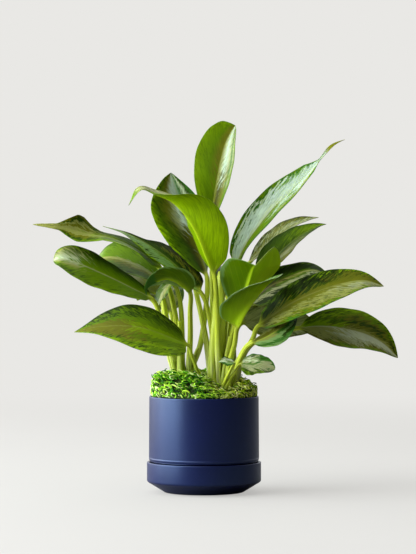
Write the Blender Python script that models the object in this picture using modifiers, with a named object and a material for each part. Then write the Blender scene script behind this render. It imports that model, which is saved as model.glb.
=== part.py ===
"""A potted chinese evergreen: silver-marked leaves on bundled stalks, moss over the soil,
a straight navy pot and the deep saucer it stands in."""

import math
import random

import bmesh
import bpy
import numpy as np

# Driving dimensions, in millimetres unless the name says otherwise
POT_RADIUS = 76.2
RIM_RADIUS = 75.6
RIM_HEIGHT = 132.5
POT_SKIRT = 42.0
POT_FOOT_RADIUS = 67.5
POT_BORE = 70.0
POT_FLOOR = 16.0
DRAIN_RADIUS = 7.0
SAUCER_RADIUS = 78.9
SAUCER_RIM = 40.5
SAUCER_BELT = 15.0
SAUCER_BASE_RADIUS = 54.5
SAUCER_BORE = 75.4
SAUCER_FLOOR = 8.0
TURNED_SIDES = 36
SEAT_GAP = 0.3
SOIL_TOP = 122.0
MOSS_EDGE = 69.0
MOSS_OVERHANG = 73.5
MOSS_TUFTS = 26
STALK_FOOT = 104.0
STALK_CLEAR = 3.0
HOLE_GAP = 0.4
LEAF_THICKNESS = 0.8
STALK_RADIUS = 3.2
STALK_FOOT_RADIUS = 3.7
BLADE_RINGS = 9
WIDEST_AT = 0.42
TIP_POWER = 1.35
BASE_POWER = 0.6

# Where the two bunches of stalks stand: centre x, centre y, reach
BUNCHES = ((-33.0, 12.0, 17.0), (25.0, 0.0, 26.0))

# Leaves. root is where the stalk stands in the soil; stalk and rib are points along the stalk,
# once it is clear of the moss, and along the midrib; up is where the upper side faces, from the
# base of the blade to its tip; half is the width of each half of the blade; fold lifts both
# halves and curl bends them further, in degrees from base to tip; widest, tip and base shape
# the outline. A pair gives one value for each half.
LEAVES = {
    "leaf_top": dict(
        root=(16.5, 5), stalk=[(13, 12, 215), (11, 24, 290)],
        rib=[(12, 29, 343), (12, 26, 395), (21, 16, 445), (28, 10, 484), (32, 17, 506), (34, 34, 508)],
        up=[(-0.5, -0.9, 0.1), (-0.5, -0.9, 0.1), (-0.3, -0.5, 0.8)],
        half=35, fold=(28, 24), widest=0.66, base=2.0),
    "leaf_silver": dict(
        root=(25.5, 5), stalk=[(27, 9, 205), (33, 16, 265)],
        rib=[(43, 17, 308), (61, 15, 346), (94, 9, 389), (128, 5, 424), (160, 8, 459), (178, 9, 479),
             (198, 10, 489)],
        up=[(-0.6, -0.7, 0.4), (-0.5, -0.7, 0.6), (-0.5, -0.6, 0.6)],
        half=30, fold=(22, 16), curl=(30, 0), tip=2.0),
    "leaf_grey": dict(
        root=(30, 14), stalk=[(34, 22, 215), (46, 34, 270)],
        rib=[(61, 58, 314), (88, 76, 342), (118, 86, 365), (142, 88, 376), (164, 88, 381)],
        up=[(-0.4, -0.5, 0.8), (-0.2, -0.4, 0.9), (0, -0.3, 0.95)],
        half=(21, 27), fold=(15, 10), widest=(0.55, 0.42), base=(1.6, 0.6)),
    "leaf_right_green": dict(
        root=(36, 7), stalk=[(40, 15, 215), (50, 26, 262)],
        rib=[(76, 36, 301), (100, 38, 326), (126, 37, 349), (155, 35, 366), (172, 32, 371)],
        up=[(-0.4, -0.6, 0.7), (-0.3, -0.5, 0.8), (-0.2, -0.4, 0.9)],
        half=29, fold=(15, 10)),
    "leaf_arching": dict(
        root=(18.7, -14), stalk=[(18.5, -18, 210), (17, -25, 268)],
        rib=[(14, -30, 300), (3, -32, 330), (-10, -30, 362), (-26, -27, 389), (-44, -25, 407),
             (-67, -26, 415), (-86, -32, 415), (-105, -38, 393)],
        up=[(0.5, 0.77, 0.1), (0.5, 0.77, 0.3), (0.5, 0.65, 0.55), (0.1, 0.05, 1), (-0.1, -0.25, 0.95),
            (-0.3, -0.25, 0.9)],
        half=(44, 37), fold=(40, 36, 10, 4), widest=0.42, tip=1.6, foot=4.6),
    "leaf_back_dark": dict(
        root=(-21, 12.5), stalk=[(-6, 10, 200), (2, 7, 250)],
        rib=[(4, 9, 296), (-7, 27, 334), (-20, 37, 365), (-33, 45, 397), (-47, 49, 441)],
        up=[(0.1, -0.95, 0.3), (0.1, -0.95, 0.3), (0.1, -0.95, 0.3)],
        half=(46, 28), fold=(12, 16), widest=(0.68, 0.62), tip=(0.75, 1.15),
        base=(0.8, 1.5)),
    "leaf_far_left": dict(
        root=(-34, 2), stalk=[(-38, 5, 232), (-49, 11, 284)],
        rib=[(-60, 10, 308), (-88, 3, 333), (-123, -8, 350), (-160, -15, 357), (-198, -20, 366),
             (-238, -22, 370)],
        up=[(-0.1, -0.5, 0.85), (-0.1, -0.45, 0.85), (-0.1, -0.4, 0.9), (0, -0.35, 0.9),
            (0, -0.3, 0.9), (0, -0.45, 0.85), (0, -0.95, 0.3), (0, -0.8, 0.5), (0, -0.5, 0.85)],
        half=(30, 25), fold=(10, 6), tip=1.15, rings=12),
    "leaf_left_edge": dict(
        root=(12.5, -5), stalk=[(12.5, -8, 205), (6, -9, 248)],
        rib=[(-4, -9, 275), (-40, -3, 315), (-75, 1, 341), (-109, 0, 359), (-142, -5, 368)],
        up=[(0.4, -0.35, 0.8), (0.35, -0.3, 0.87), (0.1, -0.1, 0.98)],
        half=(24, 34), fold=(16, 6)),
    "leaf_left_round": dict(
        root=(-43, 6), stalk=[(-50, -2, 198), (-59, -10, 238)],
        rib=[(-71, -15, 266), (-103, -25, 285), (-142, -34, 304), (-172, -40, 315), (-194, -42, 319),
             (-208, -38, 315)],
        up=[(-0.1, -0.6, 0.8), (-0.1, -0.6, 0.8), (-0.3, -0.6, 0.6)],
        half=(37, 27), fold=(8, 4), widest=0.6, tip=0.8),
    "leaf_left_inner": dict(
        root=(-39, 14.5), stalk=[(-46, 15, 205), (-56, 18, 262)],
        rib=[(-60, 20, 290), (-88, 24, 311), (-118, 30, 323), (-140, 37, 324), (-153, 48, 317)],
        up=[(0, -0.5, 0.85), (0, -0.5, 0.85), (-0.6, -0.3, 0.6)],
        half=36, fold=(10, 6), widest=0.55, tip=0.6),
    "leaf_low_left": dict(
        root=(1, -8), stalk=[(-6, -11, 171), (-15, -25, 190)],
        rib=[(-22, -36, 204), (-53, -60, 219), (-93, -75, 231), (-140, -80, 231), (-178, -78, 223)],
        up=[(0, -0.75, 0.65), (0, -0.75, 0.65), (0, -0.6, 0.8)],
        half=(39, 37), fold=(8, 4), base=(0.5, 0.6), wave=2.5),
    "leaf_bent_over": dict(
        root=(26.5, -4), stalk=[(32, -7, 190), (41, -12, 225)],
        rib=[(50, -16, 250), (56, -20, 272), (62, -28, 292), (66, -40, 306), (69, -56, 313),
             (70, -72, 314)],
        up=[(-0.1, 1, 0.2), (-0.1, 0.85, 0.5), (-0.1, 0.6, 0.8), (-0.1, 0.3, 0.95), (-0.1, 0.1, 1)],
        half=(43, 42), widest=(0.7, 0.5), base=(5.0, 0.9), tip=(0.6, 1.07), rings=12,
        fold=((12, 15), (10, 18), (8, 20), (8, 20), (14, 26), (38, 28), (42, 28))),
    "leaf_front": dict(
        root=(31, -12.5), stalk=[(35, -22, 178), (42, -38, 206)],
        rib=[(45, -46, 228), (52, -52, 245), (66, -57, 266), (86, -58, 288), (108, -52, 303)],
        up=[(-0.56, 0.77, 0.29), (-0.55, 0.4, 0.75), (-0.35, 0, 0.95), (-0.2, -0.3, 0.9)],
        half=(22, 35), fold=(40, 30, 10), widest=0.24, base=0.5, tip=1.2),
    "leaf_right_dark": dict(
        root=(34.8, -1.5), stalk=[(38, -1, 212), (47, 2, 241)],
        rib=[(61, 4, 257), (85, 7, 280), (119, 12, 298), (150, 15, 307), (179, 14, 296)],
        up=[(-0.2, -0.5, 0.8), (-0.1, -0.5, 0.8), (0.2, -0.4, 0.9)],
        half=(28, 30), fold=(12, 6)),
    "leaf_right_big": dict(
        root=(43.5, 1), stalk=[(48, -3, 177), (67, -14, 212)],
        rib=[(74, -20, 229), (104, -34, 252), (131, -41, 268), (178, -41, 286), (218, -37, 293),
             (249, -32, 284)],
        up=[(-0.2, -0.7, 0.7), (0, -0.6, 0.8), (0.2, -0.5, 0.8)],
        half=(34, 41), fold=(10, 6), widest=0.5, tip=1.1),
    "leaf_thick_stalk": dict(
        root=(41.5, -9), stalk=[(45, -24, 176), (56, -44, 198)],
        rib=[(66, -54, 208), (82, -53, 215), (100, -46, 225), (116, -38, 237), (128, -31, 243)],
        up=[(-0.25, -0.85, 0.5), (-0.2, -0.88, 0.45), (-0.2, -0.75, 0.6)],
        half=(7, 23), fold=(14, 8), tip=0.9, base=0.7),
    "leaf_right_low": dict(
        root=(46, 10), stalk=[(52, 7, 182), (66, 6, 204), (96, 8, 219)],
        rib=[(130, 8, 226), (158, 4, 229), (192, 0, 226), (222, -4, 219), (248, -8, 205),
             (269, -10, 184)],
        up=[(0, -0.75, 0.65), (0.1, -0.75, 0.65), (0.4, -0.6, 0.6)],
        half=36, fold=(8, 4), widest=0.5, base=0.85, tip=1.15),
    "leaf_right_pale": dict(
        root=(39, 17), stalk=[(40, 24, 184), (43, 28, 212)],
        rib=[(52, 30, 232), (81, 34, 236), (112, 36, 234), (142, 35, 229), (170, 32, 225)],
        up=[(0, -0.9, 0.45), (0, -0.9, 0.45), (0.1, -0.8, 0.6)],
        half=28, fold=(8, 4), rings=8),
    "leaf_small_right": dict(
        root=(28, -23), stalk=[(34, -41, 164), (43, -55, 172)],
        rib=[(50, -63, 179), (62, -67, 180), (78, -72, 179), (97, -76, 173)],
        up=[(0, -0.6, 0.8), (0, -0.6, 0.8), (0.2, -0.5, 0.8)],
        half=(17, 22), fold=(8, 4), thick=2.2, rings=7, tip=1.0),
    "leaf_small_left": dict(
        root=(20, -24), stalk=[(28, -46, 167), (36, -61, 176)],
        rib=[(41, -67, 181), (35, -70, 183), (28, -72, 184), (19, -72, 183)],
        up=[(0, -0.4, 0.9), (0, -0.4, 0.9), (0, -0.4, 0.9)],
        half=7, fold=(8, 4), thick=2.0, rings=6),
    "leaf_left_under": dict(
        root=(-22, 3), stalk=[(-19, -13, 210), (-19, -24, 250)],
        rib=[(-19, -29, 276), (-33, -38, 290), (-50, -46, 296), (-66, -50, 291), (-77, -50, 283),
             (-79, -48, 272)],
        up=[(0.3, 0.6, 0.7), (0.2, 0.6, 0.8), (-0.9, 0.1, 0.3)],
        half=24, fold=(20, 10)),
    "leaf_hanging": dict(
        root=(-30, 10.5), stalk=[(-31, 10, 240), (-36, 5, 276)],
        rib=[(-44, 1, 288), (-53, -3, 283), (-61, -5, 268), (-64, -5, 252)],
        up=[(0, -0.5, 0.8), (-0.5, -0.5, 0.5), (-0.9, -0.4, 0)],
        half=12, fold=(8, 4), rings=7),
    "leaf_back": dict(
        root=(8, 3.5), stalk=[(1, -3, 208), (-8, -1, 247), (-14, 19, 280)],
        rib=[(-17, 42, 302), (-21, 72, 346), (-25, 118, 366), (-30, 165, 352), (-32, 200, 322)],
        up=[(0, -0.8, 0.5), (0, -0.2, 0.95), (0, 0.5, 0.85)],
        half=36, fold=(14, 6), rings=8),
    "leaf_back_right": dict(
        root=(20.5, 14), stalk=[(24, 24, 190), (29, 34, 235)],
        rib=[(34, 42, 262), (44, 72, 296), (54, 118, 306), (62, 160, 290), (66, 190, 262)],
        up=[(0, -0.7, 0.7), (0, -0.2, 0.95), (0, 0.5, 0.85)],
        half=34, fold=(14, 6), rings=8),
    "leaf_back_low_left": dict(
        root=(-33, 23), stalk=[(-37, 32, 184), (-40, 40, 215)],
        rib=[(-46, 50, 244), (-60, 82, 272), (-80, 128, 278), (-98, 172, 260)],
        up=[(0, -0.5, 0.85), (0, -0.1, 0.98), (0, 0.5, 0.85)],
        half=34, fold=(14, 6), rings=8),
    "leaf_back_low_right": dict(
        root=(46, 22), stalk=[(42, 34, 176), (42, 44, 207)],
        rib=[(50, 54, 236), (80, 86, 256), (109, 126, 257), (134, 164, 237)],
        up=[(0, -0.5, 0.85), (0, -0.1, 0.98), (0, 0.5, 0.85)],
        half=34, fold=(14, 6), rings=8),
    "leaf_side_left": dict(
        root=(-46, 22), stalk=[(-50, 30, 190), (-56, 38, 240)],
        rib=[(-64, 47, 270), (-98, 68, 300), (-138, 92, 309), (-176, 112, 294)],
        up=[(0, -0.3, 0.9), (0, -0.2, 0.95), (-0.4, 0.2, 0.85)],
        half=34, fold=(12, 6), rings=8),
    "leaf_side_right": dict(
        root=(31, 24), stalk=[(35, 34, 190), (43, 43, 232)],
        rib=[(56, 50, 258), (96, 68, 284), (144, 90, 292), (188, 110, 274)],
        up=[(0, -0.3, 0.9), (0, -0.2, 0.95), (0.4, 0.2, 0.85)],
        half=34, fold=(12, 6), rings=8),
}


def clearScene():
    for thing in list(bpy.data.objects):
        bpy.data.objects.remove(thing, do_unlink=True)
    objects = bpy.data.collections.new("object")
    cutters = bpy.data.collections.new("cutters")
    bpy.context.scene.collection.children.link(objects)
    bpy.context.scene.collection.children.link(cutters)
    return objects, cutters


def material(name, colour, roughness):
    made = bpy.data.materials.new(name)
    made.use_nodes = True
    shader = made.node_tree.nodes["Principled BSDF"]
    shader.inputs["Base Color"].default_value = (*colour, 1.0)
    shader.inputs["Roughness"].default_value = roughness
    made.diffuse_color = (*colour, 1.0)
    return made


def meshObject(name, points, faces, collection, look):
    """Points are in millimetres."""
    mesh = bpy.data.meshes.new(name)
    mesh.from_pydata([tuple(float(c) * 0.001 for c in p) for p in points], [], faces)
    mesh.validate()
    mesh.materials.append(look)
    made = bpy.data.objects.new(name, mesh)
    collection.objects.link(made)
    return made


def turned(name, profile, collection, look, sides=TURNED_SIDES):
    """A profile of (radius, height) pairs, up its outer side, turned about Z. One that starts on
    the axis also ends there; any other closes on itself. Screw wants the outer side downward, so
    the pairs are taken in reverse."""
    mesh = bpy.data.meshes.new(name)
    edges = [(k, k + 1) for k in range(len(profile) - 1)]
    if profile[0][0] != 0.0:
        edges.append((len(profile) - 1, 0))
    mesh.from_pydata([(radius * 0.001, 0.0, height * 0.001) for radius, height in profile[::-1]],
                     edges, [])
    mesh.materials.append(look)
    made = bpy.data.objects.new(name, mesh)
    collection.objects.link(made)
    turn = made.modifiers.new("turn", "SCREW")
    turn.angle = 2.0 * math.pi
    turn.steps = turn.render_steps = sides
    turn.use_merge_vertices = True
    turn.merge_threshold = 0.00001
    return made


def facedOut(made):
    work = bmesh.new()
    work.from_mesh(made.data)
    bmesh.ops.recalc_face_normals(work, faces=work.faces)
    bmesh.ops.triangulate(work, faces=work.faces)
    work.to_mesh(made.data)
    work.free()


def smoothPath(points, samples=16):
    """A Catmull-Rom curve through the points, as a dense polyline; also the distance along it
    at each given point."""
    points = np.array(points, float)
    padded = np.vstack([2 * points[0] - points[1], points, 2 * points[-1] - points[-2]])
    line = []
    for a, b, c, d in zip(padded, padded[1:], padded[2:], padded[3:]):
        for k in range(samples):
            u = k / samples
            line.append(0.5 * (2 * b + (c - a) * u + (2 * a - 5 * b + 4 * c - d) * u * u
                               + (3 * b - a - 3 * c + d) * u ** 3))
    line.append(points[-1])
    line = np.array(line)
    along = np.concatenate([[0.0], np.cumsum(np.linalg.norm(np.diff(line, axis=0), axis=1))])
    return line, along, along[::samples]


def unit(vector):
    return vector / np.linalg.norm(vector)


def bladeWidth(t, widest, power, base):
    """Share of the full width at t along the blade: a rise up to the widest place, a quarter
    ellipse when base is 0.5, then a fall that draws out to the tip."""
    if t < widest:
        return max(0.0, 1.0 - (1.0 - t / widest) ** 2) ** base
    return (1.0 - ((t - widest) / (1.0 - widest)) ** 2) ** power


def blend(values, t):
    """The value at t of a list spread evenly from 0 to 1."""
    values = np.array(values, float)
    place = min(max(t, 0.0), 1.0) * (len(values) - 1)
    low = min(int(place), len(values) - 2)
    return values[low] + (values[low + 1] - values[low]) * (place - low)


def pair(value):
    """One value for each half of a blade."""
    return value if isinstance(value, tuple) else (value, value)


def footRadius(spec):
    return spec.get("foot", max(STALK_FOOT_RADIUS - STALK_RADIUS + spec.get("thick", STALK_RADIUS), 2.0))


def leaf(name, spec, collection, look):
    """One closed skin: round rings up the stalk, then flat rings of seven points above and seven
    below along the blade."""
    x, y = spec["root"]
    stalk = [(x, y, STALK_FOOT), (x, y, mossHeight(x, y) + STALK_CLEAR)] + spec["stalk"]
    line, along, marks = smoothPath(stalk + spec["rib"])
    baseAt = marks[len(stalk)]
    reach = along[-1] - baseAt
    stations = [(mark, None) for mark in marks[:len(stalk) + 1]]
    stalkRings = len(stations) - 1
    bladeRings = spec.get("rings", BLADE_RINGS)
    for k in range(1, bladeRings + 1):
        u = k / bladeRings
        t = 0.985 * (0.45 * u + 0.55 * (0.5 - 0.5 * math.cos(math.pi * u)))
        stations.append((baseAt + reach * t, t))
    at = [s for s, _ in stations]
    centres = np.column_stack([np.interp(at, along, line[:, i]) for i in range(3)])
    ahead = np.column_stack([np.interp(np.array(at) + 1.5, along, line[:, i]) for i in range(3)])
    behind = np.column_stack([np.interp(np.array(at) - 1.5, along, line[:, i]) for i in range(3)])
    headings = [unit(a - b) for a, b in zip(ahead, behind)]
    ups = [None] * len(stations)
    for k in range(stalkRings, len(stations)):
        hint = blend(spec["up"], stations[k][1] or 0.0)
        ups[k] = unit(hint - headings[k] * hint.dot(headings[k]))
    for k in range(stalkRings - 1, -1, -1):
        ups[k] = unit(ups[k + 1] - headings[k] * ups[k + 1].dot(headings[k]))
    half = pair(spec["half"])
    shapes = list(zip(pair(spec.get("widest", WIDEST_AT)), pair(spec.get("tip", TIP_POWER)),
                      pair(spec.get("base", BASE_POWER))))
    thick = spec.get("thick", STALK_RADIUS)
    foot = footRadius(spec)
    points = []
    for k, (_, t) in enumerate(stations):
        up, side = ups[k], np.cross(headings[k], ups[k])
        if t is None:
            radius = foot + (thick - foot) * (k / stalkRings)
            for row in (1, -1):
                for j in range(-3, 4):
                    turn = math.radians(90 - j * 360 / 14)
                    points.append(centres[k] + side * radius * math.cos(turn)
                                  + up * row * radius * math.sin(turn))
            continue
        shares = [bladeWidth(t, *shape) for shape in shapes]
        folds = np.radians(np.broadcast_to(blend(spec["fold"], t), 2))
        curl = math.radians(blend(spec.get("curl", (0, 0)), t))
        over, under = [], []
        for j in range(-3, 4):
            s = abs(j) / 3
            share = shares[0 if j < 0 else 1]
            width = max(1.2, half[0 if j < 0 else 1] * share)
            fold = folds[0 if j < 0 else 1]
            tilt = fold + curl * s
            across = width * s * math.cos(fold + curl * s / 2) * (1 if j > 0 else -1)
            lift = width * s * math.sin(fold + curl * s / 2)
            lift += spec.get("wave", 1.5) * s * s * math.sin(9.0 * t + (1.7 if j > 0 else 0.0)) * share
            point = centres[k] + side * across + up * lift
            normal = up * math.cos(tilt) - side * math.sin(tilt) * (1 if j > 0 else -1 if j else 0)
            over.append(point)
            under.append(point - unit(normal) * LEAF_THICKNESS)
        points += over + under
    faces = []
    ring = list(range(7)) + list(range(13, 6, -1))
    for k in range(len(stations) - 1):
        low, high = 14 * k, 14 * (k + 1)
        for i in range(14):
            a, b = ring[i], ring[(i + 1) % 14]
            if i < 7:
                faces += [(low + a, low + b, high + b), (low + a, high + b, high + a)]
            else:
                faces += [(low + a, low + b, high + a), (low + b, high + b, high + a)]
    end = 14 * (len(stations) - 1)
    for i in range(6):
        for base, flip in ((0, True), (end, False)):
            quad = [base + i, base + i + 1, base + 8 + i, base + 7 + i]
            if flip:
                quad.reverse()
            faces += [(quad[0], quad[1], quad[2]), (quad[0], quad[2], quad[3])]
    made = meshObject(name, points, faces, collection, look)
    work = bmesh.new()
    work.from_mesh(made.data)
    bmesh.ops.recalc_face_normals(work, faces=work.faces)
    work.to_mesh(made.data)
    work.free()
    return made


def mossHeight(x, y):
    """Height of the moss surface: a mound that is higher at the left and the back, with a dip
    where the stalks come up."""
    edge = max(0.0, 1.0 - (math.hypot(x, y) / 74.0) ** 6)
    dip = sum(math.exp(-((x - bx) ** 2 + (y - by) ** 2) / (1.2 * reach ** 2)) for bx, by, reach in BUNCHES)
    return 134.0 + edge * (27.0 - 0.11 * x + 0.06 * y - 13.0 * min(1.0, dip))


def hole(name, x, y, radius, low, high, cutters, look):
    """An eight-sided drill whose flats clear a round stalk of the radius."""
    reach = radius / math.cos(math.pi / 8)
    mesh = bpy.data.meshes.new(name)
    work = bmesh.new()
    bmesh.ops.create_cone(work, cap_ends=True, segments=8, radius1=reach * 0.001,
                          radius2=reach * 0.001, depth=(high - low) * 0.001)
    work.to_mesh(mesh)
    work.free()
    mesh.materials.append(look)
    made = bpy.data.objects.new(name, mesh)
    made.location = (x * 0.001, y * 0.001, (low + high) * 0.0005)
    made.display_type = "WIRE"
    made.hide_render = True
    cutters.objects.link(made)
    return made


def mossMound(objects, look):
    """A mound inside the rim, with curled tufts placed by a seeded rule and fused to it."""
    sides, rows = 28, 5
    points = [(0.0, 0.0, SOIL_TOP + SEAT_GAP)]
    rings = []
    for radius, height in ((MOSS_EDGE, SOIL_TOP + SEAT_GAP), (MOSS_EDGE, RIM_HEIGHT + SEAT_GAP),
                           (MOSS_OVERHANG, RIM_HEIGHT + SEAT_GAP)):
        rings.append(len(points))
        for k in range(sides):
            turn = 2 * math.pi * k / sides
            points.append((radius * math.cos(turn), radius * math.sin(turn), height))
    for row in range(rows):
        radius = MOSS_OVERHANG * (1.0 - (row / rows) ** 1.5) + 0.6 * (row > 0)
        rings.append(len(points))
        for k in range(sides):
            turn = 2 * math.pi * k / sides
            x, y = radius * math.cos(turn), radius * math.sin(turn)
            lump = 1.6 * math.sin(x * 0.16 + 1.0) * math.cos(y * 0.19) if row else 0.0
            points.append((x, y, mossHeight(x, y) + lump))
    points.append((0.0, 0.0, mossHeight(0.0, 0.0)))
    faces = []
    for low, high in zip(rings, rings[1:]):
        for k in range(sides):
            after = (k + 1) % sides
            faces.append((low + k, low + after, high + after, high + k))
    for k in range(sides):
        after = (k + 1) % sides
        faces.append((0, rings[0] + after, rings[0] + k))
        faces.append((len(points) - 1, rings[-1] + k, rings[-1] + after))
    mound = meshObject("moss", points, faces, objects, look)
    facedOut(mound)
    tufts = bpy.data.collections.new("tufts")
    bpy.context.scene.collection.children.link(tufts)
    chance = random.Random(11)
    count = 0
    while count < MOSS_TUFTS:
        reach = 63.0 * math.sqrt(chance.random())
        turn = chance.random() * 2 * math.pi
        x, y = reach * math.cos(turn), reach * math.sin(turn)
        if any(math.dist((x, y), spec["root"]) < 13.0 for spec in LEAVES.values()):
            continue
        tuft("tuft_%02d" % count, x, y, chance, tufts, look)
        count += 1
    step = mound.modifiers.new("fuse", "BOOLEAN")
    step.operation = "UNION"
    step.operand_type = "COLLECTION"
    step.collection = tufts
    step.solver = "MANIFOLD"
    return mound, tufts


def tuft(name, x, y, chance, collection, look):
    """A short bent taper that starts inside the mound."""
    lean = chance.random() * 2 * math.pi
    length = 7.0 + 6.0 * chance.random()
    sides = 4
    points, faces = [], []
    for row, (rise, girth) in enumerate(((-4.0, 4.2), (0.6, 3.2), (1.0, 1.0))):
        height = rise if row == 0 else rise * length
        bend = 0.0 if row == 0 else (rise ** 2) * length * 0.7
        cx, cy = x + bend * math.cos(lean), y + bend * math.sin(lean)
        for k in range(sides):
            turn = 2 * math.pi * k / sides + 0.3 * row + lean
            points.append((cx + girth * math.cos(turn), cy + girth * math.sin(turn),
                           mossHeight(x, y) + height))
    for row in range(2):
        for k in range(sides):
            after = (k + 1) % sides
            faces.append((sides * row + k, sides * row + after, sides * row + sides + after,
                          sides * row + sides + k))
    faces.append(tuple(range(sides - 1, -1, -1)))
    faces.append(tuple(range(2 * sides, 3 * sides)))
    made = meshObject(name, points, faces, collection, look)
    facedOut(made)
    return made


def applyAll(target):
    """Bakes the modifiers of one object into its mesh."""
    state = bpy.context.evaluated_depsgraph_get()
    baked = bpy.data.meshes.new_from_object(target.evaluated_get(state))
    target.modifiers.clear()
    target.data = baked


def main():
    objects, cutters = clearScene()
    navy = material("navy_ceramic", (0.022, 0.028, 0.095), 0.45)
    earth = material("potting_soil", (0.03, 0.018, 0.01), 0.95)
    green = material("moss_green", (0.10, 0.22, 0.02), 0.9)
    blade = material("leaf_green", (0.05, 0.16, 0.015), 0.4)

    turned("saucer", [
        (0.0, 0.0), (SAUCER_BASE_RADIUS, 0.0), (SAUCER_BASE_RADIUS + 1.6, 0.6),
        (SAUCER_RADIUS - 0.9, SAUCER_BELT - 0.9), (SAUCER_RADIUS, SAUCER_BELT + 0.8),
        (SAUCER_RADIUS, SAUCER_RIM - 0.9), (SAUCER_RADIUS - 0.8, SAUCER_RIM),
        (SAUCER_BORE + 0.8, SAUCER_RIM), (SAUCER_BORE, SAUCER_RIM - 0.9),
        (SAUCER_BORE - 1.0, SAUCER_FLOOR + 12.0), (SAUCER_BORE - 8.0, SAUCER_FLOOR + 1.5),
        (SAUCER_BORE - 12.0, SAUCER_FLOOR), (0.0, SAUCER_FLOOR)], objects, navy)
    stand = SAUCER_FLOOR + SEAT_GAP
    turned("pot", [
        (DRAIN_RADIUS, stand), (POT_FOOT_RADIUS - 8.0, stand), (POT_FOOT_RADIUS - 5.5, stand + 1.0),
        (POT_FOOT_RADIUS, POT_FLOOR + 8.0), (POT_FOOT_RADIUS, POT_SKIRT),
        (POT_RADIUS - 3.0, POT_SKIRT), (POT_RADIUS - 0.6, POT_SKIRT + 2.4),
        (POT_RADIUS, POT_SKIRT + 4.6), (RIM_RADIUS, RIM_HEIGHT - 1.2),
        (RIM_RADIUS - 1.2, RIM_HEIGHT), (POT_BORE + 1.2, RIM_HEIGHT),
        (POT_BORE, RIM_HEIGHT - 1.2), (POT_BORE, 46.0), (POT_FOOT_RADIUS - 5.0, 40.0),
        (POT_FOOT_RADIUS - 5.0, POT_FLOOR + 4.0), (POT_FOOT_RADIUS - 9.0, POT_FLOOR),
        (DRAIN_RADIUS, POT_FLOOR)], objects, navy)
    soil = turned("soil", [
        (0.0, POT_FLOOR + SEAT_GAP), (POT_FOOT_RADIUS - 9.4, POT_FLOOR + SEAT_GAP),
        (POT_FOOT_RADIUS - 5.4, POT_FLOOR + 4.3), (POT_FOOT_RADIUS - 5.4, 40.4),
        (POT_BORE - 0.4, 46.4), (POT_BORE - 0.4, SOIL_TOP), (0.0, SOIL_TOP)],
        objects, earth)
    moss, tufts = mossMound(objects, green)
    applyAll(moss)
    for extra in list(tufts.objects):
        bpy.data.objects.remove(extra, do_unlink=True)
    bpy.data.collections.remove(tufts)
    for name, spec in LEAVES.items():
        hole("hole_" + name, *spec["root"], footRadius(spec) + HOLE_GAP, STALK_FOOT - SEAT_GAP, 200.0,
             cutters, earth)
    for target in (soil, moss):
        step = target.modifiers.new("stalk holes", "BOOLEAN")
        step.operation = "DIFFERENCE"
        step.operand_type = "COLLECTION"
        step.collection = cutters
        step.solver = "MANIFOLD"
        applyAll(target)
    for extra in list(cutters.objects):
        bpy.data.objects.remove(extra, do_unlink=True)
    for name, spec in LEAVES.items():
        leaf(name, spec, objects, blade)


main()
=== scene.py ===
import math

import bpy
import numpy as np
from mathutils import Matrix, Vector


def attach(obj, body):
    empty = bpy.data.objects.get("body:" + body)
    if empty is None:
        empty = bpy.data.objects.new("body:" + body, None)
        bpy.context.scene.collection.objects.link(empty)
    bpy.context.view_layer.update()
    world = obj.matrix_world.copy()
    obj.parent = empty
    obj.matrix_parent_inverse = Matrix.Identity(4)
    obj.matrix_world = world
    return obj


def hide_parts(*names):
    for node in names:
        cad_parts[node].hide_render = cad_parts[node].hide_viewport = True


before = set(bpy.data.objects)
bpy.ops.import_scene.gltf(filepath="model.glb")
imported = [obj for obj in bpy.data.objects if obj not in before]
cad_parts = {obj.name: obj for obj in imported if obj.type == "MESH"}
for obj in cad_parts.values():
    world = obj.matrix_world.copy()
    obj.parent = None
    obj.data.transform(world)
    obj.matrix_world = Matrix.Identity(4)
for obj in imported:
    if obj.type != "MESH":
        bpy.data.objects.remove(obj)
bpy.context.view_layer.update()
print("frame loaded:", len(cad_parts), "solids")

studio = {
    "cameraAt": (0.0055, -3.5, 0.339), "cameraAim": (0.0055, 0.0, 0.297), "lens": 164.6,
    "cameraSees": (0.05, 60.0),
    "floorRings": (0.01, 1.0, 4.0, 15.0, 60.0), "floorSides": 96, "floorDrop": 0.0003,
    "floorTint": (189, 188, 184), "mottle": 4, "mottleScale": 3.0, "floorRough": 0.8,
    "bounceTint": (122, 122, 119),          # dimmer than what the camera sees
    # the backdrop's share in the floor: floorGlow up to fadeFrom away, and all of it past fadeTo
    "floorGlow": 0.56, "fadeFrom": 0.9, "fadeTo": 2.4,
    "backdrop": (233, 232, 229), "backdropPower": 1.0,
    # sky: skyHigh towards brightSide and skyLow away from it, between two cosines of the angle
    "skyTint": (1.0, 0.995, 0.98), "brightSide": (-0.62, 0.55, 0.55),
    "skyLow": 0.065, "skyHigh": 1.1, "skyBetween": (-0.3, 0.75),
    # place, aim, size, power, tint
    "lamps": {
        "window": ((-2.5, 1.5, 1.1), (0, 0, 0.25), (2.6, 2.0), 48.0, (0.98, 0.99, 1.0)),
        "side": ((-2.45, -0.5, 1.12), (0, 0, 0.25), (2.8, 1.9), 140.0, (0.91, 0.965, 1.0)),
        "overhead": ((-1.1, -1.2, 2.5), (0, 0, 0.3), (1.6, 1.6), 26.0, (1.0, 0.99, 0.97)),
    },
}


def linear(tint):
    # Screen colour of 0 to 255 to the light value that a shader wants
    share = np.array(tint, float) / 255.0
    return tuple(np.where(share <= 0.04045, share / 12.92, ((share + 0.055) / 1.055) ** 2.4))


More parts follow.
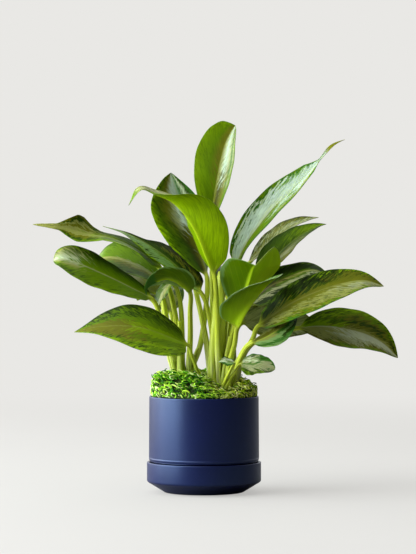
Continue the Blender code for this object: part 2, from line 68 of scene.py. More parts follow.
class Nodes:
    # Short calls for wiring the nodes of a material or of the sky
    def __init__(self, owner):
        owner.use_nodes = True
        self.owner, self.tree = owner, owner.node_tree
        self.shader = self.tree.nodes.get("Principled BSDF")

    def feed(self, node, socket, value):
        # value is another node's outlet, or a constant
        if isinstance(value, bpy.types.NodeSocket):
            self.tree.links.new(value, node.inputs[socket])
        else:
            node.inputs[socket].default_value = value

    def add(self, kind, feeds=None, outlet=0, **settings):
        # feeds: socket number or name -> value
        node = self.tree.nodes.new("ShaderNode" + kind)
        for key, value in settings.items():
            setattr(node, key, value)
        for socket, value in (feeds or {}).items():
            self.feed(node, socket, value)
        return node.outputs[outlet]

    def math(self, kind, *values, clamp=False):
        return self.add("Math", dict(enumerate(values)), operation=kind, use_clamp=clamp)

    def field(self, name):
        return self.add("Attribute", outlet="Fac", attribute_type="GEOMETRY", attribute_name=name)

    def ramp(self, value, stops, kind="LINEAR"):
        # stops: (place, colour of 0 to 255)
        outlet = self.add("ValToRGB", {0: value})
        band = outlet.node.color_ramp
        band.interpolation = kind
        while len(band.elements) < len(stops):
            band.elements.new(0.5)
        for element, (place, tint) in zip(band.elements, stops):
            element.position = place
            element.color = (*linear(tint), 1.0)
        return outlet

    def mix(self, share, a, b):
        # a (1 - share) + b share, each an outlet or a colour of 0 to 255
        a, b = (c if isinstance(c, bpy.types.NodeSocket) else (*linear(c), 1.0) for c in (a, b))
        return self.add("Mix", {0: share, 6: a, 7: b}, outlet=2, data_type="RGBA")

    def step(self, value, low, high, start=0.0, end=1.0):
        # start below low, end above high, eased between
        return self.add("MapRange", {0: value, 1: low, 2: high, 3: start, 4: end},
                        interpolation_type="SMOOTHSTEP")

    def noise(self, place, scale, detail=2.0, rough=0.5):
        return self.add("TexNoise", {"Vector": place, "Scale": scale, "Detail": detail,
                                     "Roughness": rough})

    def finish(self, colour, rough, bump=None, strength=0.0, distance=0.0, **constants):
        # constants: the shader's other sockets, with _ for a space
        if bump is not None:
            constants["Normal"] = self.add("Bump", {"Height": bump, "Strength": strength,
                                                    "Distance": distance})
        for socket, value in dict(constants, Base_Color=colour, Roughness=rough).items():
            self.feed(self.shader, socket.replace("_", " "), value)
        return self.owner


def newLook(name):
    # A material to wire
    return Nodes(bpy.data.materials.new(name))


def aimed(name, held, at, aim):
    # A camera or a lamp at one point, turned so that its own -z looks at another
    holder = bpy.data.objects.new(name, held)
    holder.location = at
    holder.rotation_euler = (Vector(aim) - Vector(at)).to_track_quat("-Z", "Y").to_euler()
    bpy.context.scene.collection.objects.link(holder)
    return holder


def makeCamera():
    # lens over a 36 mm sensor; cameraSees is the nearest and the farthest that it shows
    camera = bpy.data.cameras.new("camera")
    camera.lens, camera.sensor_width = studio["lens"], 36.0
    camera.clip_start, camera.clip_end = studio["cameraSees"]
    bpy.context.scene.camera = aimed("camera", camera, studio["cameraAt"], studio["cameraAim"])


def makeLamp(name, at, aim, size, power, tint):
    # A rectangle of light that the camera doesn't see
    lamp = bpy.data.lights.new(name, "AREA")
    lamp.shape, lamp.size, lamp.size_y = "RECTANGLE", *size
    lamp.energy, lamp.color = power, tint
    aimed(name, lamp, at, aim).visible_camera = False


def makeSky():
    # The object is lit by low + (high - low) times a smooth step of the cosine between each
    # direction and the bright side; the camera sees one pale tint instead
    n = Nodes(bpy.data.worlds.new("sky"))
    view = n.add("TexCoord", outlet="Generated")
    towards = n.add("VectorMath", {0: view, 1: Vector(studio["brightSide"]).normalized()},
                    outlet="Value", operation="DOT_PRODUCT")
    glow = n.tree.nodes["Background"]
    n.feed(glow, "Color", (*studio["skyTint"], 1.0))
    n.feed(glow, "Strength", n.step(towards, *studio["skyBetween"], studio["skyLow"],
                                    studio["skyHigh"]))
    plain = n.add("Background", {"Color": (*linear(studio["backdrop"]), 1.0),
                                 "Strength": studio["backdropPower"]})
    seen = n.add("LightPath", outlet="Is Camera Ray")
    both = n.add("MixShader", {0: seen, 1: glow.outputs[0], 2: plain})
    n.feed(n.tree.nodes["World Output"], "Surface", both)
    bpy.context.scene.world = n.owner


def gridQuads(rows, columns, closed=False):
    # Four corners of each cell of a grid numbered row by row; closed joins last column to first
    row, column = np.meshgrid(np.arange(rows - 1), np.arange(columns if closed else columns - 1),
                              indexing="ij")
    a = row * columns + column
    b = row * columns + (column + 1) % columns
    return np.stack([a, b, b + columns, a + columns], -1).reshape(-1, 4)


def tubeFaces(rows, sides):
    # The cells of a closed grid, and one face across each end
    ends = [list(range(sides))[::-1], list(range((rows - 1) * sides, rows * sides))]
    return gridQuads(rows, sides, True).tolist() + ends


def meshPiece(name, points, faces, look, fields=None):
    # points in millimetres; fields are named floats, one for each point
    mesh = bpy.data.meshes.new(name)
    mesh.from_pydata((points * 0.001).tolist(), [], faces)
    mesh.polygons.foreach_set("use_smooth", np.ones(len(mesh.polygons), bool))
    for field, values in (fields or {}).items():
        mesh.attributes.new(field, "FLOAT", "POINT").data.foreach_set(
            "value", np.ascontiguousarray(values, np.float32).ravel())
    mesh.materials.append(look)
    mesh.update()
    piece = bpy.data.objects.new(name, mesh)
    bpy.context.scene.collection.objects.link(piece)
    return piece


def stand(piece, slotName, *nodes):
    # The piece belongs to the one body, and takes the place of the solids named
    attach(piece, "root")
    if nodes:
        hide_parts(*nodes)


def turns(sides):
    # Angles spread evenly round a turn
    return np.arange(sides) * 2 * math.pi / sides


def roundedProfile(corners, steps=7):
    # Each corner (radius, height, fillet) gives way to the curve (1-u)^2 p + 2(1-u)u c + u^2 q
    # between the points p and q that lie the fillet's length before and after it
    spots = np.array([c[:2] for c in corners], float)
    line = [spots[:1]]
    u = np.linspace(0, 1, steps)[:, None]
    for before, corner, after, spec in zip(spots, spots[1:], spots[2:], corners[1:]):
        towards, away = before - corner, after - corner
        p = corner + towards * min(0.5, spec[2] / np.linalg.norm(towards))
        q = corner + away * min(0.5, spec[2] / np.linalg.norm(away))
        line.append((1 - u) ** 2 * p + 2 * (1 - u) * u * corner + u * u * q)
    return np.vstack(line + [spots[-1:]])


def turnedSurface(profile, sides):
    # x = r cos a, y = r sin a, z = h for each profile point (r, h) and each angle a
    turn = turns(sides)
    radius, height = profile[:, :1], profile[:, 1:]
    return np.stack([radius * np.cos(turn), radius * np.sin(turn),
                     np.broadcast_to(height, (len(profile), sides))], -1).reshape(-1, 3)


def turnedPiece(name, corners, look, sides=160, loop=False):
    # A loop profile closes on itself; any other starts and ends on the axis, where a fan closes it
    profile = roundedProfile(corners)
    rows = len(profile)
    if loop:
        seam = gridQuads(2, sides, True)
        seam = np.where(seam < sides, seam + (rows - 1) * sides, seam - sides)
        faces = np.vstack([gridQuads(rows, sides, True), seam]).tolist()
    else:
        profile[0, 0] = profile[-1, 0] = 0.02
        faces = tubeFaces(rows, sides)
    return meshPiece(name, turnedSurface(profile, sides), faces, look)


def makeFloor():
    # Painted near the object, and fading with distance into the backdrop's own tint
    n = newLook("floor_paint")
    spot = n.add("TexCoord", outlet="Object")
    tint = studio["floorTint"]
    colour = n.mix(n.noise(spot, studio["mottleScale"]), tint, [c - studio["mottle"] for c in tint])
    seen = n.add("LightPath", outlet="Is Camera Ray")
    look = n.finish(n.mix(seen, studio["bounceTint"], colour), studio["floorRough"])
    away = n.add("VectorMath", {0: spot}, outlet="Value", operation="LENGTH")
    fade = n.step(away, studio["fadeFrom"], studio["fadeTo"], studio["floorGlow"])
    glow = n.add("Emission", {0: (*linear(studio["backdrop"]), 1.0), 1: studio["backdropPower"]})
    both = n.add("MixShader", {0: n.math("MULTIPLY", fade, seen), 1: n.shader.outputs[0], 2: glow})
    n.feed(n.tree.nodes["Material Output"], "Surface", both)
    rings = np.array(studio["floorRings"])
    profile = np.column_stack([rings, np.full(len(rings), -studio["floorDrop"])]) * 1000.0
    sides = studio["floorSides"]
    faces = gridQuads(len(rings), sides, True)[:, ::-1].tolist() + [list(range(sides))]
    meshPiece("floor", turnedSurface(profile, sides), faces, look)


glazeLook = {
    "tint": (9, 13, 66), "cloudTint": (8, 11, 58), "cloudScale": 14.0, "cloudStep": (0.35, 0.7),
    "speckTint": (74, 78, 120), "speckScale": 260.0, "speckStep": (0.66, 0.74), "specks": 0.05,
    "grainScale": 900.0, "bump": 0.12, "bumpDepth": 0.0004, "speckBump": 0.6,
    "rough": 0.34, "roughSwing": 0.10, "specular": 1.0, "specularTint": (0.39, 0.59, 1.0, 1.0),
}
potShape = {
    "outer": 76.2, "rim": 75.6, "height": 132.5, "skirt": 42.0, "foot": 67.5, "bore": 70.0,
    "boreEnd": 46.0, "cup": 62.5, "cupTop": 40.0, "floor": 16.0, "drain": 7.0, "stand": 8.3,
}
saucerShape = {
    "outer": 78.9, "rim": 41.8, "belt": 15.0, "base": 54.5, "bore": 75.4, "floor": 8.0,
}


def glaze():
    # Navy clouded by slow noise with a few paler specks, and a fine grain in the bump
    g, n = glazeLook, newLook("navy_glaze")
    spot = n.add("TexCoord", outlet="Object")
    cloud = n.noise(spot, g["cloudScale"], 3.0)
    grain = n.noise(spot, g["grainScale"], 2.0)
    speck = n.noise(spot, g["speckScale"], 1.0)
    colour = n.mix(n.step(cloud, *g["cloudStep"]), g["tint"], g["cloudTint"])
    specks = n.math("MULTIPLY", n.step(speck, *g["speckStep"]), g["specks"])
    gloss = n.math("MULTIPLY_ADD", cloud, g["roughSwing"], g["rough"] - g["roughSwing"] / 2)
    height = n.math("ADD", grain, n.math("MULTIPLY", speck, g["speckBump"]))
    return n.finish(n.mix(specks, colour, g["speckTint"]), gloss, height, g["bump"],
                    g["bumpDepth"], Specular_IOR_Level=g["specular"],
                    Specular_Tint=g["specularTint"])


def makePot():
    # Each corner of the two profiles is a radius, a height and a fillet
    p, s, look = potShape, saucerShape, glaze()
    drain, foot, outer, base, skirt = p["drain"], p["foot"], p["outer"], p["stand"], p["skirt"]
    stand(turnedPiece("pot_glazed", [
        (drain, base, 0.4), (foot - 8.0, base, 2.0), (foot - 5.0, base + 1.2, 3.0),
        (foot, p["floor"] + 8.0, 3.0), (foot, skirt, 1.2), (outer - 2.6, skirt, 2.2),
        (outer, skirt + 3.0, 3.4), (outer, skirt + 8.0, 3.0), (p["rim"], p["height"], 1.3),
        (p["bore"], p["height"], 1.3), (p["bore"], p["boreEnd"], 4.0),
        (p["cup"], p["cupTop"], 4.0), (p["cup"], p["floor"], 4.0), (drain, p["floor"], 0.5),
        (drain, base, 0.4)], look, loop=True), "ceramic", "pot")
    stand(turnedPiece("saucer_glazed", [
        (0, 0, 0), (s["base"], 0.0, 1.6), (s["outer"], s["belt"], 2.0), (s["outer"], s["rim"], 1.2),
        (s["bore"], s["rim"], 1.2), (s["bore"] - 1.0, s["floor"] + 12.0, 8.0),
        (s["bore"] - 10.0, s["floor"], 6.0), (0, s["floor"], 0)], look), "ceramic", "saucer")


soilLook = {
    "grains": [(0.35, (26, 18, 12)), (0.6, (62, 44, 28)), (0.75, (98, 74, 48))],
    "grainScale": 220.0, "rough": 0.95, "bumpScale": 400.0, "bump": 0.9, "bumpDepth": 0.002,
}


def dressSoil():
    # The soil keeps its own solid, in dark crumbs
    s, n = soilLook, newLook("potting_mix")
    spot = n.add("TexCoord", outlet="Object")
    colour = n.ramp(n.noise(spot, s["grainScale"], 4.0), s["grains"])
    look = n.finish(colour, s["rough"], n.noise(spot, s["bumpScale"], 3.0), s["bump"],
                    s["bumpDepth"])
    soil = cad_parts["soil"]
    soil.data.materials.clear()
    soil.data.materials.append(look)


mossShape = {
    # level, with a heap on it that ends at fade from the middle, slants by so much for each mm of
    # x and y, and dips where the stalks stand, in bunches of x, y and reach
    "level": 134.0, "heap": 27.0, "fade": 74.0, "slant": (-0.11, 0.06), "dip": 13.0,
    "bunches": ((-33.0, 12.0, 17.0), (25.0, 0.0, 26.0)),
    "valley": (24.0, -48.0, 24.0, 34.0, 17.0),      # before the main stem: x, y, spreads, depth
    "edge": 69.0, "overhang": 73.5, "bottom": 122.3, "lip": 132.8, "rows": 60, "sides": 150,
    "bedDrop": 1.5, "lumpEdge": 10.0,
    # strands: length, loops and ring each from the first value up by the second at most
    "seed": 5, "strands": 2300, "steps": 13, "corners": 3, "girth": 1.15, "reach": 71.5,
    "length": (8.0, 14.0), "loops": (0.35, 0.7), "ring": (2.0, 3.6), "run": 0.7, "rise": 0.3,
    "ringUp": 0.55, "sink": 2.5, "wallSink": 14.0,
}
mossLook = {
    "bed": [(0.3, (20, 30, 6)), (0.55, (58, 82, 14)), (0.75, (96, 120, 20))],
    # a strand's colour by its own tone, at the left and at the right, where more are yellowish and
    # all are lighter, as painted light over the shade that the stalks cast there
    "left": [(0, (14, 50, 2)), (0.25, (60, 146, 4)), (0.5, (140, 220, 10)), (0.76, (206, 248, 76)),
             (1, (244, 254, 190))],
    "right": [(0, (16, 40, 2)), (0.16, (110, 160, 6)), (0.36, (206, 238, 30)),
              (0.62, (244, 252, 110)), (1, (250, 252, 180))],
    "eastward": 9.0, "patchScale": 45.0, "patchStep": (0.4, 1.0),
    # the next two: painted shade, each strand darker near its root deep in the mound, and the share
    # of its length that this reaches
    "root": (20, 32, 3), "rootShadeEnds": 0.35, "rough": 0.7, "specular": 0.2,
}


def mossTop(x, y):
    # level + (1 - (r/fade)^6) (heap + slant - dip e^-(d^2 / 1.2 reach^2) at each bunch), less a
    # valley of depth e^-(((x-vx)/sx)^2 + ((y-vy)/sy)^2), and never under the lip
    m = mossShape
    heaped = np.maximum(0.0, 1.0 - (np.hypot(x, y) / m["fade"]) ** 6)
    dip = sum(np.exp(-((x - bx) ** 2 + (y - by) ** 2) / (1.2 * reach ** 2))
              for bx, by, reach in m["bunches"])
    heap = m["heap"] + m["slant"][0] * x + m["slant"][1] * y - m["dip"] * np.minimum(1.0, dip)
    vx, vy, sx, sy, depth = m["valley"]
    valley = depth * np.exp(-((x - vx) / sx) ** 2 - ((y - vy) / sy) ** 2)
    return np.maximum(m["level"] + heaped * heap - valley, m["lip"] + 0.5)


def unit(vectors):
    # Each vector made one long
    return vectors / np.linalg.norm(vectors, axis=-1, keepdims=True)


def makeMossBed():
    # Mound: bottom disc, wall inside the rim, lip, then z = moss height plus three sine lumps
    m = mossShape
    turn = turns(m["sides"])
    u = np.linspace(0, 1, m["rows"])
    r = m["overhang"] * (1 - u ** 1.3) + 0.05
    radius = np.concatenate([[0.05, m["edge"], m["edge"]], r])[:, None]
    x, y = radius * np.cos(turn), radius * np.sin(turn)
    lump = 1.7 * np.sin(0.31 * x + 1.0) * np.cos(0.37 * y) + 1.2 * np.sin(0.71 * x + 0.3 * y) \
        + 0.9 * np.cos(0.9 * y - 0.55 * x)
    z = mossTop(x, y) + lump * np.clip((m["fade"] - radius) / m["lumpEdge"], 0, 1) - m["bedDrop"]
    z[:2], z[2] = m["bottom"], m["lip"]
    n = newLook("moss_bed")
    spot = n.add("TexCoord", outlet="Object")
    colour = n.ramp(n.noise(spot, 160.0, 4.0), mossLook["bed"])
    look = n.finish(colour, 0.9, n.noise(spot, 500.0, 3.0), 0.8, 0.002)
    points = np.stack([x, y, z], -1).reshape(-1, 3)
    stand(meshPiece("moss_bed", points, tubeFaces(len(radius), m["sides"]), look), "moss", "moss")


def makeStrands():
    # A strand curls as it climbs away from its root: root + lean run u + up rise u(1.6-u) + ring
    # (cross sin a + up ringUp (1 - cos a)), a = start + 2 pi loops u, with run and rise in shares
    # of its length, and a strand that reaches past the rim is drawn in. Its tube thins to the tip
    m = mossShape
    chance = np.random.default_rng(m["seed"])
    count, steps, corners = m["strands"], m["steps"], m["corners"]

    def between(least, more):
        return least + more * chance.random(count)

    reach = m["reach"] * np.minimum(1.0, 1.12 * np.sqrt(chance.random(count)))
    spin = chance.random(count) * 2 * math.pi
    x, y = reach * np.cos(spin), reach * np.sin(spin)
    onWall = reach > m["reach"] - 0.01
    sink = np.where(onWall, between(0.0, m["wallSink"]), m["sink"])
    clump = 3.0 * np.sin(x * 0.35) * np.cos(y * 0.4)
    root = np.stack([x, y, np.maximum(mossTop(x, y) - sink + clump, m["lip"] - 1.0)], -1)
    leanAngle = spin + chance.normal(0, 1.5, count)
    length = between(*m["length"])[:, None]
    lean = np.stack([np.cos(leanAngle), np.sin(leanAngle), np.zeros(count)], -1)
    cross = np.stack([-lean[:, 1], lean[:, 0], np.zeros(count)], -1)
    up = np.array([0, 0, 1.0])
    u = np.linspace(0, 1, steps)
    loops, ring = between(*m["loops"])[:, None], between(*m["ring"])[:, None]
    angle = 2 * math.pi * (chance.random(count)[:, None] + loops * u)
    climbed = length * m["rise"] * u * (1.6 - u) + ring * (1 - np.cos(angle)) * m["ringUp"]
    path = root[:, None] + lean[:, None] * (length * m["run"] * u)[..., None] \
        + cross[:, None] * (ring * np.sin(angle))[..., None] + up * climbed[..., None]
    far = np.hypot(path[..., 0], path[..., 1])
    inside = m["reach"] + 2.0 * np.tanh((far - m["reach"]) / 4.0)
    path[..., :2] *= np.minimum(1.0, inside / far)[..., None]

    heading = unit(np.gradient(path, axis=1))
    sideways = unit(np.cross(heading, np.array([0.3, 0.2, 0.93])))
    upward = np.cross(sideways, heading)
    girth = m["girth"] * between(0.7, 0.6)[:, None] * (1 - 0.6 * u ** 2)
    around = turns(corners)
    offset = sideways[:, :, None] * np.cos(around)[:, None]
    offset = offset + upward[:, :, None] * np.sin(around)[:, None]
    tube = path[:, :, None] + girth[..., None, None] * offset
    first = (np.arange(count) * corners * steps)[:, None]
    faces = (gridQuads(steps, corners, True)[None] + first[..., None]).reshape(-1, 4).tolist()
    end = np.arange(corners)
    faces += (first + end[::-1]).tolist() + (first + corners * (steps - 1) + end).tolist()
    tone = np.repeat(chance.random(count), steps * corners)
    climb = np.broadcast_to(u[None, :, None], (count, steps, corners)).reshape(-1)
    strands = meshPiece("moss_strands", tube.reshape(-1, 3), faces, strandLook(),
                        dict(tone=tone, climb=climb))
    stand(strands, "moss")


def strandLook():
    # Left and right tints part where 9 x in metres and a noise add up to the step; the right ones
    # are partly yellower moss and partly painted light over the stalks' shade. Each strand darkens
    # towards its root in painted shade, deep in the mound
    m, n = mossLook, newLook("moss_strands")
    spot = n.add("TexCoord", outlet="Object")
    east = n.add("SeparateXYZ", {0: spot})
    left, right = n.ramp(n.field("tone"), m["left"]), n.ramp(n.field("tone"), m["right"])
    patch = n.math("ADD", n.math("MULTIPLY", east, m["eastward"]), n.noise(spot, m["patchScale"]))
    # right tints: partly yellower moss and partly painted light over the stalks' shade
    colour = n.mix(n.step(patch, *m["patchStep"]), left, right)
    # painted shade: darker towards each strand's root, deep in the mound
    low = n.math("SUBTRACT", 1.0, n.step(n.field("climb"), 0.0, m["rootShadeEnds"]))
    return n.finish(n.mix(low, colour, m["root"]), m["rough"], Subsurface_Weight=0.15,
                    Subsurface_Radius=(1.0, 1.0, 0.2), Subsurface_Scale=0.0015,
                    Specular_IOR_Level=m["specular"])


def smoothPath(points, samples=24):
    # Between b and c of a, b, c, d: (2b + (c-a)u + (2a-5b+4c-d)u^2 + (3b-a-3c+d)u^3) / 2.
    # Gives the line, the distance along it, and the distance at each point
    points = np.array(points, float)
    padded = np.vstack([2 * points[0] - points[1], points, 2 * points[-1] - points[-2]])
    a, b, c, d = (padded[k:len(padded) - 3 + k, None] for k in range(4))
    u = (np.arange(samples) / samples)[None, :, None]
    line = 0.5 * (2 * b + (c - a) * u + (2 * a - 5 * b + 4 * c - d) * u ** 2
                  + (3 * b - a - 3 * c + d) * u ** 3)
    line = np.vstack([line.reshape(-1, points.shape[1]), points[-1]])
    along = np.concatenate([[0.0], np.cumsum(np.linalg.norm(np.diff(line, axis=0), axis=1))])
    return line, along, along[::samples]


# Sheaths that wrap the feet of the stalks: points of x, y, z and radius up each one
sheathShape = {
    "sides": 36, "rows": 46, "ridge": 0.07,
    "tubes": [
        [(14, -8, 126, 12.4), (14.5, -8, 150, 11.0), (16.5, -7, 190, 10.8), (19, -7, 226, 10.4),
         (21, -7, 262, 8.4), (22, -8, 290, 5.4), (22, -8, 305, 2.0)],
        [(27, -16, 126, 6.5), (27, -15, 150, 5.6), (31, -14, 180, 4.8), (37, -14, 215, 3.4)],
        [(33, -24, 126, 6.6), (34, -25, 146, 6.0), (41, -29, 168, 5.4), (49, -38, 188, 3.6)],
        [(-35.5, 4, 126, 6.0), (-37, 4, 158, 4.8), (-44, 1, 188, 4.0), (-50, -3, 212, 2.8)],
        [(-31, 0, 126, 7.6), (-31, 0, 158, 6.4), (-32.5, 1, 196, 5.4), (-34, 3, 236, 3.0)],
        [(-26, 8, 126, 5.4), (-22, 9, 162, 4.6), (-12.5, 10, 186, 4.0), (-3, 10, 209, 3.0)],
    ],
    # fibres: colours across them; past fadeUp mm they turn into the stalks' own colour
    "fibres": [(0.34, (100, 106, 12)), (0.5, (154, 172, 32)), (0.68, (194, 208, 96)),
               (0.88, (220, 230, 158))],
    # the third value is painted light and shade: each sheath paler on its left, towards the lamps,
    # and darker on its right
    "aroundScale": 1.9, "upScale": 0.012, "paintedSideLight": 0.1, "fadeUp": (165.0, 245.0),
    "rough": 0.4, "bump": 0.3, "bumpDepth": 0.001, "specular": 0.3,
}


def sheathLook():
    # Noise drawn on a ring (cos a, sin a) and slowly up it, so that it has no seam
    m, n = sheathShape, newLook("stem_sheath")
    spin, height = n.field("spin"), n.field("height")
    east, north = n.math("COSINE", spin), n.math("SINE", spin)
    fibres = n.noise(n.add("CombineXYZ", {0: n.math("MULTIPLY", east, m["aroundScale"]),
                                          1: n.math("MULTIPLY", north, m["aroundScale"]),
                                          2: n.math("MULTIPLY", height, m["upScale"])}),
                     1.0, 3.0, 0.6)
    # painted light and shade: paler on the left side, towards the lamps, and darker on the right
    fibres = n.math("MULTIPLY_ADD", east, -m["paintedSideLight"], fibres)
    colour = n.mix(n.step(height, *m["fadeUp"]), n.ramp(fibres, m["fibres"]), skin["body"])
    return n.finish(colour, m["rough"], fibres, m["bump"], m["bumpDepth"], Subsurface_Weight=0.4,
                    Subsurface_Radius=(1.0, 1.0, 0.3), Subsurface_Scale=0.002,
                    Specular_IOR_Level=m["specular"])


def makeSheaths():
    # x = cx + r cos a, y = cy + r sin a, r = radius (1 + ridge (cos(3a + z/30 + k)
    # + cos(7a - z/22) / 2)) for sheath number k
    m = sheathShape
    turn, shape, size = turns(m["sides"]), (m["rows"], m["sides"]), m["rows"] * m["sides"]
    layers, faces = [], []
    for k, tube in enumerate(m["tubes"]):
        line, along = smoothPath(tube)[:2]
        at = along[-1] * np.linspace(0, 1, m["rows"])
        x, y, z, radius = (np.interp(at, along, line[:, c])[:, None] for c in range(4))
        ridges = np.cos(3 * turn + z / 30 + k) + 0.5 * np.cos(7 * turn - z / 22)
        radius = radius * (1 + m["ridge"] * ridges)
        layers.append(np.stack([x + radius * np.cos(turn), y + radius * np.sin(turn),
                                z + 0 * turn], -1))
        faces += [[corner + k * size for corner in face] for face in tubeFaces(*shape)]
    points = np.stack(layers).reshape(-1, 3)
    spin = np.broadcast_to(turn, (len(m["tubes"]), *shape))
    piece = meshPiece("stem_sheaths", points, faces, sheathLook(),
                      dict(spin=spin, height=points[:, 2]))
    stand(piece, "leaf")


